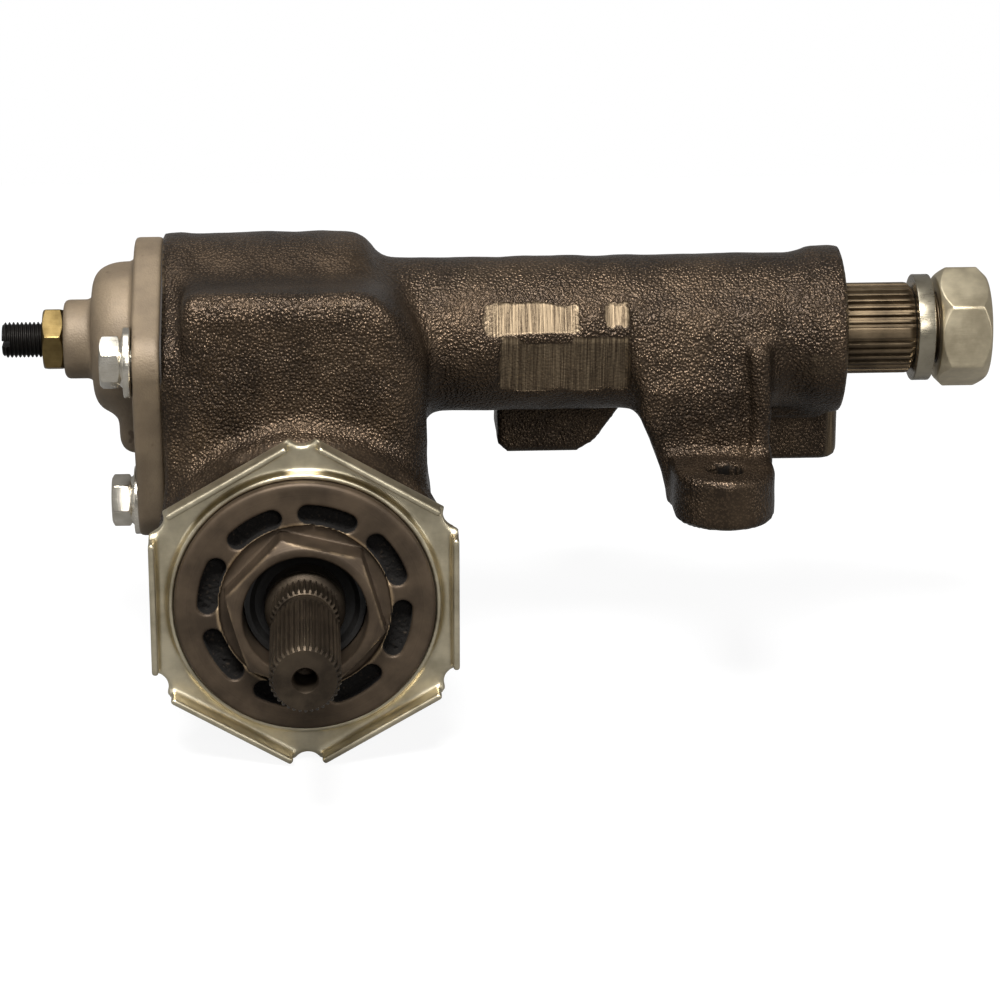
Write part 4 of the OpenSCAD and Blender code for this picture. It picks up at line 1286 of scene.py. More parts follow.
    def ground_share(self, b: Solid, points: Array, body: Array, hollows: Array, turn: Array) -> Array:
        """Work out how far each point is ground bare.

        Args:
            b: The block that the housing was drawn from.
            points: Its points in the maker's frame.
            body: Distance to the casting before grinding.
            hollows: Distance to the rooms and the holes.
            turn: Direction of each point about the sector line in degrees.
        Returns:
            Shares from 0 to 1.
        """
        x = points[:, 0]
        ground = smoothstep(0.12, 0.45, -b.at(body, points)) * (b.at(hollows, points) > 0.9)
        lower_dim = 0.45 * smoothstep(12, 7, turn)
        rough_lip = between(x, (66, 70), (85, 81)) * between(turn, (7, 9), (15, 13))
        upper_ends = (1 - between(x, (54, 66), (88, 79))) * smoothstep(9, 14, turn) * (x < 90)
        ground = ground * (1 - lower_dim) * (1 - rough_lip) * (1 - 0.5 * upper_ends)
        scuff = smoothstep(148, 156, x) * between(turn, (-26, -18), (4, -4))
        chips = smoothstep(161, 164, x) * between(turn, (84, 92), (112, 104))
        return np.maximum(ground, 0.4 * np.maximum(scuff, chips))


@dataclass
class SideCover:
    """The cast aluminium side cover with its round boss, nose and lower lobe."""

    cell: float = 0.7
    in_x: float = -42.3
    out_x: float = -51.1
    dome_x: float = -64.8
    nose_x: float = -73.7
    dome_r: float = 23.5
    nose_r: float = 12.35
    lobe_t: float = 6.0
    lobe_discs: tuple[Triple, ...] = ((-7, -26, 9), (7, -26, 9), (0, 0, 22.5))
    bolt_seat_r: float = 11.1
    bush_r: float = 15.65
    screw_r: float = 5.6

    def build(self, finishes: Finishes, housing: Housing) -> None:
        """Make the cover.

        Args:
            finishes: The gearbox's finishes.
            housing: The housing, whose flange gives the outline.
        """
        b = Solid((self.nose_x - 2, -52, -67), (self.in_x + 2, 52, 35), self.cell)
        rho = np.hypot(b.y, b.z)
        outline = outline_distance(b.y, b.z, belt(housing.flange_discs))
        plate = common(outline, slab(b.x, self.out_x, self.in_x), 1.5)
        dome = common(rho - self.dome_r, slab(b.x, self.dome_x, self.in_x), 9)
        nose = common(rho - self.nose_r, slab(b.x, self.nose_x, self.in_x), 2)
        lobe_outline = outline_distance(b.y, b.z, belt(self.lobe_discs))
        lobe = common(lobe_outline, slab(b.x, self.out_x - self.lobe_t, self.in_x), 6)
        body = fuse(np.minimum(plate, lobe), fuse(dome, nose, 2), 4)
        outside = self.nose_x - 9
        inside = self.in_x + 9
        for y, z in housing.cover_bolts:
            seat = np.hypot(b.y - y, b.z - z)
            body = cut(body, np.maximum(seat - self.bolt_seat_r, slab(b.x, outside, self.out_x)), 1.2)
            body = cut(body, np.maximum(seat - housing.bolt_hole_r, slab(b.x, outside, inside)))
        body = cut(body, np.maximum(rho - self.bush_r, slab(b.x, self.dome_x + 5, inside)))
        body = cut(body, np.maximum(rho - self.screw_r, slab(b.x, outside, self.in_x)))
        piece = skin_piece("cast_side_cover", *b.skin(body))
        dress(piece, Body.HOUSING, finishes.aluminium, "cast_aluminium", "side_cover")


@dataclass
class Rods:
    """Rods with rolled threads or cut splines, made by one Geometry Nodes tree."""

    tree: bpy.types.NodeTree = field(init=False)
    lengths: tuple[str, ...] = (
        "Radius", "Length", "Pitch", "Thread Depth", "Teeth", "Tooth Depth", "Blanks", "Bevel")
    counts: tuple[str, ...] = ("Around", "Along")

    def __post_init__(self) -> None:
        """Build the tree, which bends a grid round into a rod and closes its ends."""
        self.tree = bpy.data.node_groups.new("rolled_rod", "GeometryNodeTree")
        kinds = {name: "NodeSocketFloat" for name in self.lengths}
        kinds.update({name: "NodeSocketInt" for name in self.counts})
        kinds["Material"] = "NodeSocketMaterial"
        for name, kind in kinds.items():
            self.tree.interface.new_socket(name, in_out="INPUT", socket_type=kind)
        self.tree.interface.new_socket("Geometry", in_out="OUTPUT", socket_type="NodeSocketGeometry")
        g = Graph(self.tree)
        group = g.node("NodeGroupInput").socket.node
        size = {name: Wire(g, group.outputs[name]) for name in kinds}
        grid = g.node("GeometryNodeMeshGrid", {}, {
            "Size X": 1.0, "Size Y": 1.0, "Vertices X": size["Around"] + 1, "Vertices Y": size["Along"]})
        place = g.node("GeometryNodeInputPosition")
        split = g.node("ShaderNodeSeparateXYZ", {}, {0: place}).socket.node
        turn = Wire(g, split.outputs[0]) + 0.5
        along = (Wire(g, split.outputs[1]) + 0.5) * size["Length"]
        thread = ((along / size["Pitch"] + turn).fold(0.5) * 2).ease(0.08, 0.92) * size["Thread Depth"]
        tooth = ((turn * size["Teeth"]).fold(0.5) * 2).ease(0.28, 0.62) * size["Tooth Depth"]
        blank = ((turn * size["Blanks"] + 0.5).fold(0.5) * 2).ease(0.09, 0.13)
        ends = along.least(size["Length"] - along) + size["Radius"] - size["Bevel"]
        radius = (size["Radius"] - thread - tooth * blank).least(ends)
        angle = turn * math.tau
        bent = g.node("ShaderNodeCombineXYZ", {}, {
            0: radius * angle.wave("COSINE"), 1: radius * angle.wave("SINE"), 2: along})
        skin = g.node("GeometryNodeSetPosition", {}, {"Geometry": grid, "Position": bent})
        disc = g.node("GeometryNodeMeshCircle", {"fill_type": "NGON"}, {
            "Vertices": size["Around"], "Radius": size["Radius"] - size["Bevel"]})
        lift = g.node("ShaderNodeCombineXYZ", {}, {2: size["Length"]})
        far = g.node("GeometryNodeTransform", {}, {"Geometry": disc, "Translation": lift})
        shell = g.node("GeometryNodeJoinGeometry", {}, {0: [skin, disc, far]})
        welded = g.node("GeometryNodeMergeByDistance", {}, {"Geometry": shell, "Distance": 1e-3})
        g.hand_over(welded, size["Material"])

    def make(self, line: Line, start: float, sizes: dict[str, float],
             material: bpy.types.Material, spin: float = 0.0) -> Part:
        """Roll one rod.

        Args:
            line: Shaft line that it lies on.
            start: Place along the line of its lower end.
            sizes: Values of the tree's inputs, in millimetres.
            material: Finish that the tree sets.
            spin: Turn in degrees.
        Returns:
            Points of the maker's frame and faces.
        """
        carrier = linked("rod", bpy.data.meshes.new("rod"))
        modifier = carrier.modifiers.new("rod", "NODES")
        modifier.node_group = self.tree
        set_inputs(modifier, {
            "Pitch": 1.0, "Thread Depth": 0.0, "Teeth": 1.0, "Tooth Depth": 0.0, "Blanks": 0.0,
            **sizes, "Material": material})
        mesh = plain_mesh(carrier)
        local, faces = mesh_part(mesh)
        bpy.data.objects.remove(carrier)
        bpy.data.meshes.remove(mesh)
        radius = np.hypot(local[:, 0], local[:, 1])
        angle = np.arctan2(local[:, 1], local[:, 0]) + math.radians(spin)
        return on_line(line, local[:, 2] + start, radius, angle), faces


def carved(part: Part, tool: Part) -> Part:
    """Cut one closed shape out of another.

    Args:
        part: Points and faces of the shape that is kept.
        tool: Points and faces of the shape that is taken out.
    Returns:
        Points of the maker's frame and faces.
    """
    body = mesh_piece("body", *part)
    cutter = mesh_piece("cutter", *tool)
    modifier = body.modifiers.new("cut", "BOOLEAN")
    modifier.operation = "DIFFERENCE"
    modifier.solver = "MANIFOLD"
    modifier.object = cutter
    points, faces = mesh_part(plain_mesh(body))
    bpy.data.objects.remove(body)
    bpy.data.objects.remove(cutter)
    return points / MM + ORIGIN, faces


def solid_part(node: str, axis: int, limit: float, keep_above: bool) -> Part:
    """Take the part of a solid on one side of a plane, closed by a flat face.

    Args:
        node: The solid.
        axis: Axis that the plane is square to.
        limit: Place of the plane in the maker's frame.
        keep_above: Whether the side of higher values is kept.
    Returns:
        Points of the maker's frame and faces.
    """
    work = bmesh.new()
    work.from_mesh(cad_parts[node].data)
    bmesh.ops.remove_doubles(work, verts=work.verts, dist=WELD)
    place = [0.0, 0.0, 0.0]
    normal = [0.0, 0.0, 0.0]
    place[axis] = (limit - ORIGIN[axis]) * MM
    normal[axis] = 1.0
    cut_edges = bmesh.ops.bisect_plane(
        work, geom=work.verts[:] + work.edges[:] + work.faces[:], plane_co=place, plane_no=normal,
        clear_inner=keep_above, clear_outer=not keep_above)
    rim = [e for e in cut_edges["geom_cut"] if isinstance(e, bmesh.types.BMEdge)]
    bmesh.ops.holes_fill(work, edges=rim, sides=0)
    points = np.array([v.co for v in work.verts]) / MM + ORIGIN
    work.verts.index_update()
    faces = [tuple(v.index for v in f.verts) for f in work.faces]
    work.free()
    return points, faces


def hexagon(flats: float, bore: float, start: float, end: float, turn: float,
            bevel: float = 30.0) -> Part:
    """Make a nut or a bolt head on the sector line, with corners turned off and soft edges.

    Args:
        flats: Size across the flats.
        bore: Radius of its hole, or nothing for a head.
        start: Place of its lower face along the line.
        end: Place of its upper face.
        turn: Turn in degrees.
        bevel: Slope of the turned corners in degrees.
    Returns:
        Points of the maker's frame and faces.
    """
    half = flats / 2
    soft = 0.03 * flats
    face_r = 0.965 * half
    slope = math.tan(math.radians(bevel))
    mouth = 0.9 if bore else 0.0
    half_side = math.radians(30)
    local = half_side * np.sin(np.linspace(-1, 1, 21)[:-1] * math.pi / 2)
    corner = (half - soft) / math.cos(half_side)
    meet = math.atan2((half - soft) * math.tan(half_side), half)
    off = half_side - np.abs(local)
    arc = corner * np.cos(off) + np.sqrt(np.clip(soft ** 2 - (corner * np.sin(off)) ** 2, 0, None))
    reach = np.where(np.abs(local) < meet, half / np.cos(local), arc)
    rings = []
    for sector in range(6):
        for angle, r in zip(local, reach):
            drop = max(r - face_r, 0.05) * slope
            section = [
                (bore, start + mouth), (bore + mouth, start), (face_r, start), (r, start + drop),
                (r, end - drop), (face_r, end), (bore + mouth, end), (bore, end - mouth),
            ]
            if not bore:
                section = section[1:-1]
            outline = np.array(eased(section, 0.3, 2, bool(bore)))
            a = angle + math.radians(turn + 60 * sector)
            rings.append(on_line(Line.SECTOR, outline[:, 1], outline[:, 0], np.full(len(outline), a)))
    points = np.array(rings)
    faces = grid_faces(points.shape[0], points.shape[1], True, bool(bore))
    return points.reshape(-1, 3), faces


def split_ring(radii: Pair, start: float, end: float, at: float, gap: float, lift: float) -> Part:
    """Make a spring washer on the sector line, with a slanting split.

    Args:
        radii: Inside and outside radius.
        start: Place of its lower face along the line.
        end: Place of its upper face.
        at: Direction of the split in degrees.
        gap: Width of the split in degrees.
        lift: How far the ends spring apart.
    Returns:
        Points of the maker's frame and faces.
    """
    inner, outer = radii
    section = np.array(eased([(inner, start), (outer, start), (outer, end), (inner, end)], 0.5, 3, True))
    slant = (section[:, 1] - start) / (end - start) * math.radians(gap)
    steps = 96
    rings = []
    for k in range(steps + 1):
        share = k / steps
        a = math.radians(at + gap / 2) + share * math.radians(360 - 2 * gap) + slant
        rings.append(on_line(Line.SECTOR, section[:, 1] + lift * (share - 0.5), section[:, 0], a))
    points = np.array(rings)
    count = points.shape[1]
    faces = grid_faces(steps + 1, count, False, True)
    faces.append(tuple(range(count)))
    faces.append(tuple(range(steps * count, (steps + 1) * count)))
    return points.reshape(-1, 3), faces


@dataclass
class LockNut:
    """The stamped lock nut of the bearing adjuster."""

    cell: float = 0.55
    flats: float = 92.2
    back: float = -68.1
    plate_t: float = 4.1
    bore_r: float = 39.2
    lip_r: float = 41.0
    lip_h: float = 3.2
    flange_h: float = 6.4
    flange_t: float = 2.0
    notch_r: float = 4.6
    notch_gap: float = 1.3

    def build(self, finishes: Finishes) -> None:
        """Make the nut.

        Args:
            finishes: The gearbox's finishes.
        """
        corner = self.flats / 2 / math.cos(math.radians(30))
        front = self.back - self.plate_t
        b = Solid(
            (-corner - 2, front - 9, -CENTRES - corner - 2),
            (corner + 2, self.back + 2, corner + 2 - CENTRES), self.cell)
        z = b.z + CENTRES
        rho = np.hypot(b.x, z)
        outline = hexagon_distance(b.x, z, self.flats)
        lip = common(rho - self.lip_r, slab(b.y, front - self.lip_h, self.back), 1.2)
        side = corner - 2 * (self.notch_r + self.notch_gap)
        walls = FAR
        sheet = common(outline, slab(b.y, front, self.back), 0.9)
        for k in range(6):
            a = math.radians(60 * k)
            out = b.x * math.cos(a) + z * math.sin(a) - self.flats / 2
            along = z * math.cos(a) - b.x * math.sin(a)
            wall = common(slab(out, -self.flange_t, 0), slab(along, -side / 2, side / 2), 0.8)
            walls = np.minimum(walls, common(wall, slab(b.y, front - self.flange_h, self.back), 0.8))
            a = math.radians(30 + 60 * k)
            notch = np.hypot(b.x - corner * math.cos(a), z - corner * math.sin(a)) - self.notch_r
            sheet = cut(sheet, notch, 1.0)
        body = fuse(fuse(sheet, walls, 1.8), lip, 1.6)
        bend = common(outline, b.y - self.back, 4.5)
        body = cut(np.maximum(body, bend), rho - self.bore_r)
        piece = skin_piece("stamped_lock_nut", *b.skin(body))
        dress(piece, Body.HOUSING, finishes.stamped, "stamped_zinc", "adjuster_locknut")


@dataclass
class BearingAdjuster:
    """The worm bearing adjuster with its spanner slots, recess and hexagon."""

    cell: float = 0.55
    outer_r: float = 39.1
    face: float = -77.9
    back: float = -57.1
    recess_r: float = 25.6
    recess_depth: float = 2.0
    hex_flats: float = 42.6
    hex_proud: float = 8.3
    hex_turn: float = 16.0
    bore_r: float = 18.5
    bore_end: float = -66.0
    bearing_r: float = 21.6
    bearing_face: float = -67.56
    slots: int = 8
    slot_r: float = 29.1
    slot_w: float = 5.8
    slot_half: float = 12.0
    slot_turn: float = 120.6
    slot_depth: float = 5.0

    def build(self, finishes: Finishes) -> None:
        """Make the adjuster.

        Args:
            finishes: The gearbox's finishes.
        """
        reach = self.outer_r + 2
        front = self.face - self.hex_proud
        b = Solid(
            (-reach, front - 2, -CENTRES - reach), (reach, self.back + 2, reach - CENTRES), self.cell)
        z = b.z + CENTRES
        rho = np.hypot(b.x, z)
        body = common(rho - self.outer_r, slab(b.y, self.face, self.back), 1.8)
        recess = np.maximum(rho - self.recess_r, b.y - self.face - self.recess_depth)
        body = cut(body, recess, 0.7)
        outline = hexagon_distance(b.x, z, self.hex_flats, self.hex_turn)
        bevel = (rho - self.hex_flats / 2 + 0.3) * 0.5 - (b.y - front) * 0.87
        boss = np.maximum(common(outline, slab(b.y, front, self.back), 0.6), bevel)
        body = fuse(body, boss, 0.8)
        step = 360 / self.slots
        angle = np.degrees(np.arctan2(z, b.x))
        local = np.mod(angle - self.slot_turn + step / 2, step) - step / 2
        bend = np.radians(np.clip(np.abs(local) - self.slot_half, 0, None))
        slot = np.hypot(rho * np.cos(bend) - self.slot_r, rho * np.sin(bend)) - self.slot_w / 2
        floor = ripple(b, 1.5, 21) * 0.25
        body = cut(body, np.maximum(slot, b.y - self.face - self.slot_depth + floor), 0.9)
        seat = slab(b.y, self.bearing_face, self.back + 9)
        body = cut(body, np.maximum(rho - self.bearing_r, seat), 0.6)
        body = cut(body, np.maximum(rho - self.bore_r, slab(b.y, front - 9, self.bore_end)), 0.9)
        points, quads = b.skin(body)
        piece = skin_piece("slotted_bearing_adjuster", points, quads)
        in_slot = (b.at(slot, points) < 0.4) & (points[:, 1] > self.face + 0.9)
        # Marks the rough cast slots, which the finish also darkens with painted shade.
        paint(piece, "cast", np.where(in_slot, 1.0, 0.0))
        ring = np.hypot(b.at(rho - self.recess_r, points), points[:, 1] - self.face)
        corners = np.hypot(b.at(outline, points), points[:, 1] - front - 0.8)
        worn = np.maximum(smoothstep(1.2, 0.3, ring), 0.35 * smoothstep(1.0, 0.3, corners))
        paint(piece, "worn", worn)
        dress(piece, Body.HOUSING, finishes.turned_iron, "machined_iron", "worm_bearing_adjuster")


@dataclass
class InputShaft:
    """The worm shaft, with its splined input end in front of the seal."""

    journal_r: float = 12.0
    spline_r: float = 10.3
    teeth: int = 36
    tooth_depth: float = 1.0
    stub: float = -80.6
    tip: float = -138.07
    groove: float = -93.57
    groove_w: float = 5.0
    groove_r: float = 8.6

    def build(self, finishes: Finishes, rods: Rods) -> None:
        """Make the shaft.

        Args:
            finishes: The gearbox's finishes.
            rods: Maker of splined rods.
        """
        behind = self.stub + 2.0
        worm = solid_part("worm_shaft", 1, behind, True)
        shoulder = lathe(Line.WORM, eased([
            (0, behind), (self.journal_r, behind), (self.journal_r, self.stub + 0.2),
            (self.spline_r - 0.4, self.stub - 1.2), (0, self.stub - 1.2)], 0.7))
        low = self.groove - self.groove_w / 2
        high = self.groove + self.groove_w / 2
        splines = {"Radius": self.spline_r, "Teeth": float(self.teeth), "Tooth Depth": self.tooth_depth,
                   "Bevel": self.tooth_depth + 0.3, "Around": self.teeth * 10, "Along": 48}
        front = rods.make(Line.WORM, self.tip, {**splines, "Length": low - self.tip}, finishes.worm)
        front = carved(front, self.drill())
        rear = rods.make(Line.WORM, high, {**splines, "Length": self.stub + 0.5 - high}, finishes.worm)
        neck = lathe(Line.WORM, [
            (0, low - 2), (self.groove_r, low - 2), (self.groove_r, high + 2), (0, high + 2)], 96)
        piece = mesh_piece("splined_worm_shaft", *joined(worm, shoulder, front, rear, neck))
        dress(piece, Body.WORM, finishes.worm, "worm_steel", "worm_shaft")

    def drill(self) -> Part:
        """Give the shape of the countersunk centre hole in the tip."""
        return lathe(Line.WORM, [
            (0, self.tip - 3), (4.1, self.tip - 0.5), (3.9, self.tip), (3.4, self.tip + 0.7),
            (3.2, self.tip + 13), (0, self.tip + 15)], 48)


@dataclass
class PitmanEnd:
    """The sector shaft with its splined pitman end, lock washer and nut."""

    spline_r: float = 14.3
    teeth: int = 36
    tooth_depth: float = 1.4
    blanks: int = 4
    blank_turn: float = -37.0
    thread_r: float = 11.1
    thread_pitch: float = 1.6
    thread_depth: float = 0.9
    tube_end: float = 169.0
    shoulder: float = 192.0
    washer_t: float = 5.9
    washer_r: float = 16.75
    split_at: float = 252
    split_gap: float = 7
    split_lift: float = 0.5
    nut: float = 199.6
    nut_t: float = 16.0
    nut_flats: float = 33.3
    nut_turn: float = 3.5
    nut_bevel: float = 46.0

    def build(self, finishes: Finishes, rods: Rods) -> None:
        """Make the shaft, the washer and the nut.

        Args:
            finishes: The gearbox's finishes.
            rods: Maker of splined and threaded rods.
        """
        inside = solid_part("sector_shaft", 0, self.tube_end - 4.0, False)
        start = self.tube_end - 6.0
        splines = rods.make(Line.SECTOR, start, {
            "Radius": self.spline_r, "Length": self.shoulder - start, "Teeth": float(self.teeth),
            "Tooth Depth": self.tooth_depth, "Bevel": self.tooth_depth + 0.2, "Around": self.teeth * 12,
            "Along": 40, "Blanks": float(self.blanks)}, finishes.shaft, self.blank_turn)
        low = self.shoulder - 2
        thread = rods.make(Line.SECTOR, low, {
            "Radius": self.thread_r, "Length": self.nut + self.nut_t - 1.4 - low,
            "Pitch": self.thread_pitch, "Thread Depth": self.thread_depth, "Bevel": 1.1,
            "Around": 72, "Along": 200}, finishes.shaft)
        shaft = mesh_piece("splined_sector_shaft", *joined(inside, splines, thread))
        dress(shaft, Body.SECTOR, finishes.shaft, "shaft_steel", "sector_shaft")
        bore = self.thread_r + 0.05
        washer = mesh_piece("split_pitman_washer", *split_ring(
            (bore, self.washer_r), self.shoulder + 0.3, self.shoulder + self.washer_t - 0.2,
            self.split_at, self.split_gap, self.split_lift))
        dress(washer, Body.SECTOR, finishes.washer_zinc, "zinc_steel", "pitman_lock_washer")
        nut = mesh_piece("bevelled_pitman_nut", *hexagon(
            self.nut_flats, bore, self.nut, self.nut + self.nut_t, self.nut_turn, self.nut_bevel),
            crease=NUT_CREASE)
        dress(nut, Body.SECTOR, finishes.nut_zinc, "zinc_steel", "pitman_nut")


@dataclass
class LashAdjuster:
    """The threaded lash adjuster screw and its lock nut."""

    tip: float = -93.0
    nose: float = -73.7
    radius: float = 5.55
    pitch: float = 1.27
    thread_depth: float = 0.75
    slot_half: float = 0.9
    slot_depth: float = 2.6
    head_in: float = -52.2
    head_r: float = 8.0
    head_t: float = 3.2
    nut_t: float = 6.6
    nut_flats: float = 18.2
    nut_turn: float = 48.0

    def build(self, finishes: Finishes, rods: Rods) -> None:
        """Make the screw and the nut.

        Args:
            finishes: The gearbox's finishes.
            rods: Maker of threaded rods.
        """
        rod = rods.make(Line.SECTOR, self.tip, {
            "Radius": self.radius, "Length": self.head_in + 1 - self.tip, "Pitch": self.pitch,
            "Thread Depth": self.thread_depth, "Bevel": 1.0, "Around": 64, "Along": 420}, finishes.black)
        head_end = self.head_in + self.head_t
        head = lathe(Line.SECTOR, eased([
            (0, self.head_in), (self.head_r, self.head_in), (self.head_r, head_end), (0, head_end)],
            0.3), 64)
        screw = mesh_piece("threaded_lash_screw", *joined(carved(rod, self.slot()), head), crease=50)
        dress(screw, Body.HOUSING, finishes.black, "black_steel", "lash_adjuster_screw")
        nut = mesh_piece("lash_lock_nut", *hexagon(
            self.nut_flats, self.radius + 0.05, self.nose - self.nut_t, self.nose - 0.05, self.nut_turn),
            crease=NUT_CREASE)
        dress(nut, Body.HOUSING, finishes.yellow, "yellow_zinc_steel", "lash_adjuster_locknut")

    def slot(self) -> Part:
        """Give the shape of the screwdriver slot in the tip.

        Returns:
            Points of the maker's frame and faces.
        """
        half_y = self.radius + 2
        corners = [
            (x, y, z)
            for x in (self.tip - 2, self.tip + self.slot_depth)
            for y in (-half_y, half_y)
            for z in (-self.slot_half, self.slot_half)
        ]
        return np.array(corners), [
            (0, 1, 3, 2), (4, 6, 7, 5), (0, 4, 5, 1), (2, 3, 7, 6), (0, 2, 6, 4), (1, 5, 7, 3)]


@dataclass
class CoverBolts:
    """The three side cover bolts with their lock washers, set out by Geometry Nodes."""

    out_x: float = -51.1
    washer_t: float = 2.6
    washer_r: float = 10.85
    split_at: float = 200
    split_gap: float = 5
    split_lift: float = 0.15
    head_t: float = 7.0
    flats: float = 14.4
    shank_r: float = 4.75
    shank_end: float = -30.8
    turn_each: float = 0.35

    def build(self, finishes: Finishes, housing: Housing) -> None:
        """Make the bolts and the washers.

        Args:
            finishes: The gearbox's finishes.
            housing: The housing, which says where the bolts are.
        """
        head = self.out_x - self.washer_t
        hex_head = hexagon(self.flats, 0.0, head - self.head_t, head - 0.7, 0.0)
        half = self.flats / 2
        collar = lathe(Line.SECTOR, eased([
            (0, head - 1.2), (half - 0.2, head - 1.2), (half + 0.9, head), (0, head)], 0.25), 64)
        shank = lathe(Line.SECTOR, eased([
            (0, head - 1), (self.shank_r, head - 1), (self.shank_r, self.shank_end - 1),
            (self.shank_r - 1, self.shank_end), (0, self.shank_end)], 0.3), 48)
        bolt = mesh_piece("bolt", *joined(hex_head, collar, shank), crease=NUT_CREASE)
        bolts = self.set_out("cover_bolts", bolt, housing, finishes.zinc)
        dress(bolts, Body.HOUSING, finishes.zinc, "zinc_steel", "side_cover_bolts")
        washer = mesh_piece("washer", *split_ring(
            (self.shank_r + 0.1, self.washer_r), head + 0.1, self.out_x - 0.1,
            self.split_at, self.split_gap, self.split_lift))
        washers = self.set_out("cover_lock_washers", washer, housing, finishes.zinc)
        dress(washers, Body.HOUSING, finishes.zinc, "zinc_steel", "side_cover_lock_washers")

    def set_out(self, name: str, source: bpy.types.Object, housing: Housing,
                material: bpy.types.Material) -> bpy.types.Object:
        """Stand a copy of a piece on each of the cover's bolt places.

        Args:
            name: Name of the set.
            source: The piece made on the sector line, which is dropped.
            housing: The housing, which says where the bolts are.
            material: Finish that the tree sets.
        Returns:
            The set as one plain mesh.
        """
        tree = bpy.data.node_groups.new(name, "GeometryNodeTree")
        for label, kind in (("Places", "Geometry"), ("Piece", "Object"), ("Finish", "Material")):
            tree.interface.new_socket(label, in_out="INPUT", socket_type=f"NodeSocket{kind}")
        tree.interface.new_socket("Set", in_out="OUTPUT", socket_type="NodeSocketGeometry")
        g = Graph(tree)
        group = g.node("NodeGroupInput").socket.node
        places, piece_in, finish = (Wire(g, group.outputs[k]) for k in ("Places", "Piece", "Finish"))
        shape = g.node("GeometryNodeObjectInfo", {}, {"Object": piece_in}, out="Geometry")
        turn = g.node("GeometryNodeInputIndex") * self.turn_each
        spin = g.node("ShaderNodeCombineXYZ", {}, {0: turn})
        copies = g.node("GeometryNodeInstanceOnPoints", {}, {
            "Points": places, "Instance": shape, "Rotation": spin})
        g.hand_over(copies, finish)
        source.data.transform(Matrix.Translation(-Vector(placed(np.zeros(3)))))
        mesh = bpy.data.meshes.new(name)
        mesh.from_pydata([tuple(placed(np.array([0.0, y, z]))) for y, z in housing.cover_bolts], [], [])
        piece = linked(name, mesh)
        modifier = piece.modifiers.new("copies", "NODES")
        modifier.node_group = tree
        set_inputs(modifier, {"Piece": source, "Finish": material})
        plain = plain_mesh(piece)
        piece.modifiers.clear()
        piece.data = plain
        bpy.data.objects.remove(source)
        return piece


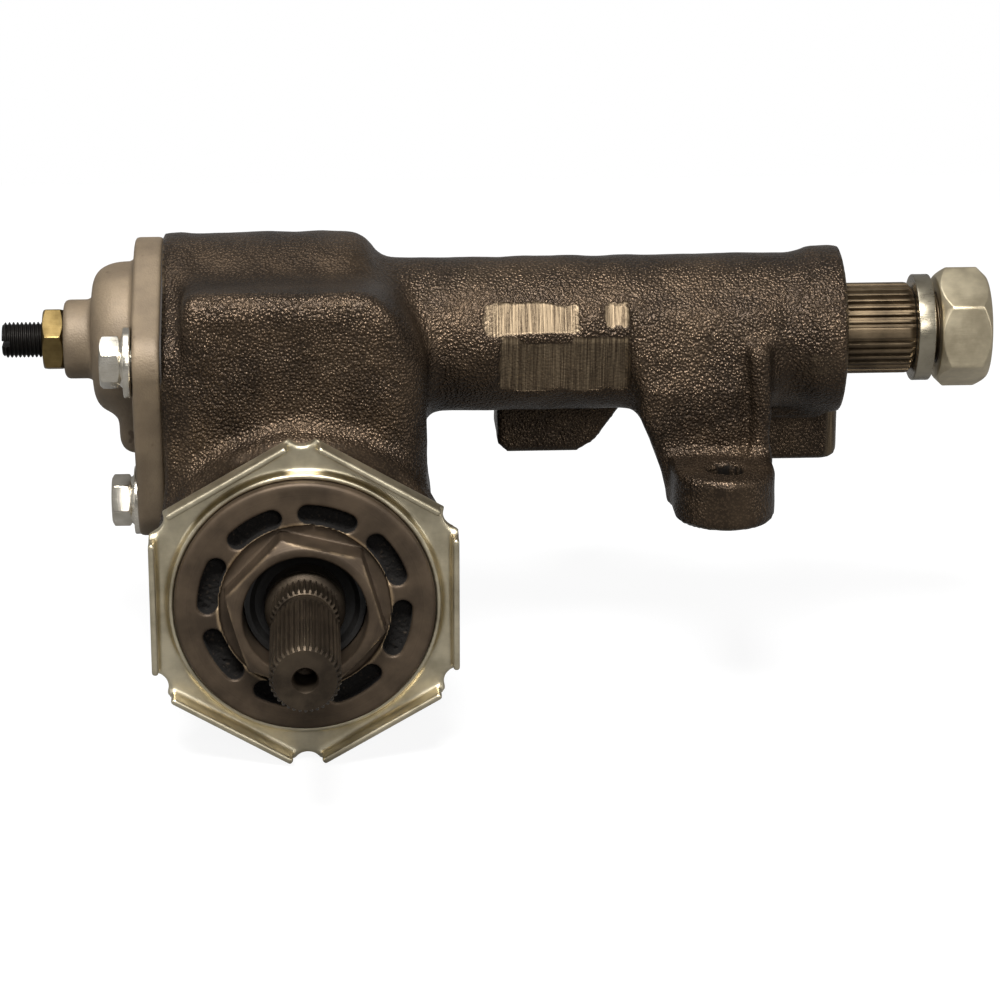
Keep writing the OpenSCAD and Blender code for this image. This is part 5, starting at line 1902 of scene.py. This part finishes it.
@dataclass
class Studio:
    """The camera, the light and the pale floor."""

    camera_place: Triple = (-123.6, -1021.2, 341.2)
    azimuth: float = -3.063
    elevation: float = 18.12
    lens: float = 126.4
    floor_half: float = 0.75
    floor_gap: float = 0.0005
    floor_glow: float = 1.1
    floor_white: float = 0.82
    mirrored_floor: float = 0.1

    def build(self) -> None:
        """Set up everything that isn't part of the object."""
        scene = bpy.context.scene
        scene.view_settings.view_transform = "Standard"
        self.camera()
        self.world()
        self.floor()
        self.lamp("key", (-0.25, -0.80, 1.25), (-0.08, 0.0, 0.0), (0.6, 0.4), 38.0)
        self.lamp("fill", (0.10, -1.35, 0.62), (-0.08, 0.0, 0.0), (0.5, 0.3), 5.5)
        self.lamp("overhead", (-0.28, 0.10, 1.15), (-0.1, 0.03, 0.0), (0.5, 0.7), 3.2)
        self.lamp("left_card", (-1.25, -0.55, 0.45), (-0.1, 0.0, 0.0), (0.5, 0.8), 2.5)
        self.lamp("right_card", (1.15, -0.65, 0.50), (-0.05, 0.0, 0.0), (0.5, 0.8), 4.0)

    def camera(self) -> None:
        """Set the camera at the photograph's viewing angle."""
        data = bpy.data.cameras.new("camera")
        data.lens = self.lens
        data.sensor_width = 36.0
        data.clip_end = 20.0
        eye = linked("camera", data)
        azimuth = math.radians(self.azimuth)
        elevation = math.radians(self.elevation)
        forward = Vector((
            -math.sin(azimuth) * math.cos(elevation),
            math.cos(azimuth) * math.cos(elevation),
            -math.sin(elevation),
        ))
        eye.location = [v * MM for v in self.camera_place]
        eye.rotation_euler = forward.to_track_quat("-Z", "Y").to_euler()
        bpy.context.scene.camera = eye

    def lamp(self, name: str, place: Triple, aim: Triple, size: Pair, power: float) -> None:
        """Hang one soft lamp.

        Args:
            name: Name of the lamp.
            place: Where it hangs.
            aim: What it points at.
            size: Width and height in metres.
            power: Power in watts.
        """
        data = bpy.data.lights.new(name, "AREA")
        data.shape = "RECTANGLE"
        data.size, data.size_y = size
        data.energy = power
        lamp = linked(name, data)
        lamp.location = place
        lamp.rotation_euler = (Vector(aim) - Vector(place)).to_track_quat("-Z", "Y").to_euler()

    def world(self) -> None:
        """Light the room softly, and show it white to the camera and dimmed in reflections."""
        world = bpy.data.worlds.new("room")
        bpy.context.scene.world = world
        world.use_nodes = True
        g = Graph(world.node_tree)
        g.tree.nodes.clear()
        camera, mirrored = g.rays()
        way = g.node("ShaderNodeTexCoord", out="Generated")
        behind = g.node("ShaderNodeSeparateXYZ", {}, {0: way}, out="Y").ease(-0.35, 0.35)
        seen = camera.most(mirrored * (0.08 + behind * 0.12))
        shade = g.node("ShaderNodeBackground", {}, {
            "Color": (1.0, 1.0, 1.0, 1.0), "Strength": 0.1 + seen * 0.9})
        output = g.tree.nodes.new("ShaderNodeOutputWorld")
        g.tree.links.new(shade.socket, output.inputs["Surface"])

    def floor(self) -> None:
        """Lay the pale floor under the lowest piece, dimmed where other pieces mirror it."""
        low = CAD_BOX[0][2] - self.floor_gap
        half = self.floor_half
        mesh = bpy.data.meshes.new("floor")
        corners = [(-half, -half, low), (half, -half, low), (half, half, low), (-half, half, low)]
        mesh.from_pydata(corners, [], [(0, 1, 2, 3)])
        plane = linked("floor", mesh)
        s = Shade("pale_floor")
        camera, mirrored = s.rays()
        pale = s.node("ShaderNodeBsdfDiffuse", {}, {"Color": (0.75, 0.75, 0.75, 1.0)})
        dim = s.node("ShaderNodeBsdfDiffuse", {}, {"Color": (0.15, 0.15, 0.15, 1.0)})
        glow = s.node("ShaderNodeEmission", {}, {
            "Color": (1.0, 1.0, 1.0, 1.0), "Strength": self.floor_glow})
        seen = s.node("ShaderNodeMixShader", {}, {0: self.floor_white, 1: pale, 2: glow})
        reflected = s.node("ShaderNodeMixShader", {}, {0: mirrored * self.mirrored_floor, 1: dim, 2: glow})
        s.node_output(s.node("ShaderNodeMixShader", {}, {0: camera, 1: reflected, 2: seen}))
        mesh.materials.append(s.material)


def finish_solids(finishes: Finishes) -> None:
    """Give the solids that stay their finishes.

    Args:
        finishes: The gearbox's finishes.
    """
    chosen = (
        (finishes.fibre, ("side_cover_gasket",)),
        (finishes.bronze, ("side_cover_bushing", "sector_shaft_bushings")),
        (finishes.ground, ("lash_adjuster_shim", "ball_nut")),
        (finishes.rubber, ("sector_shaft_seal", "worm_shaft_seal")),
        (finishes.brass, ("upper_bearing_cage", "lower_bearing_cage")),
        (finishes.zinc, ("ball_return_guides", "return_guide_clamp", "return_guide_screw")),
        (finishes.bearing, (
            "upper_bearing_cup", "lower_bearing_cup", "upper_bearing_balls", "lower_bearing_balls",
            "recirculating_balls")),
    )
    for material, names in chosen:
        for name in names:
            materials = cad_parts[name].data.materials
            materials.clear()
            materials.append(material)


def main() -> None:
    """Build the sub-assemblies in order."""
    logging.basicConfig(level=logging.INFO, format="%(message)s")
    Studio().build()
    finishes = Finishes()
    finish_solids(finishes)
    housing = Housing()
    housing.build(finishes)
    SideCover().build(finishes, housing)
    CoverBolts().build(finishes, housing)
    rods = Rods()
    LashAdjuster().build(finishes, rods)
    PitmanEnd().build(finishes, rods)
    LockNut().build(finishes)
    BearingAdjuster().build(finishes)
    InputShaft().build(finishes, rods)


if __name__ == "__main__":
    main()
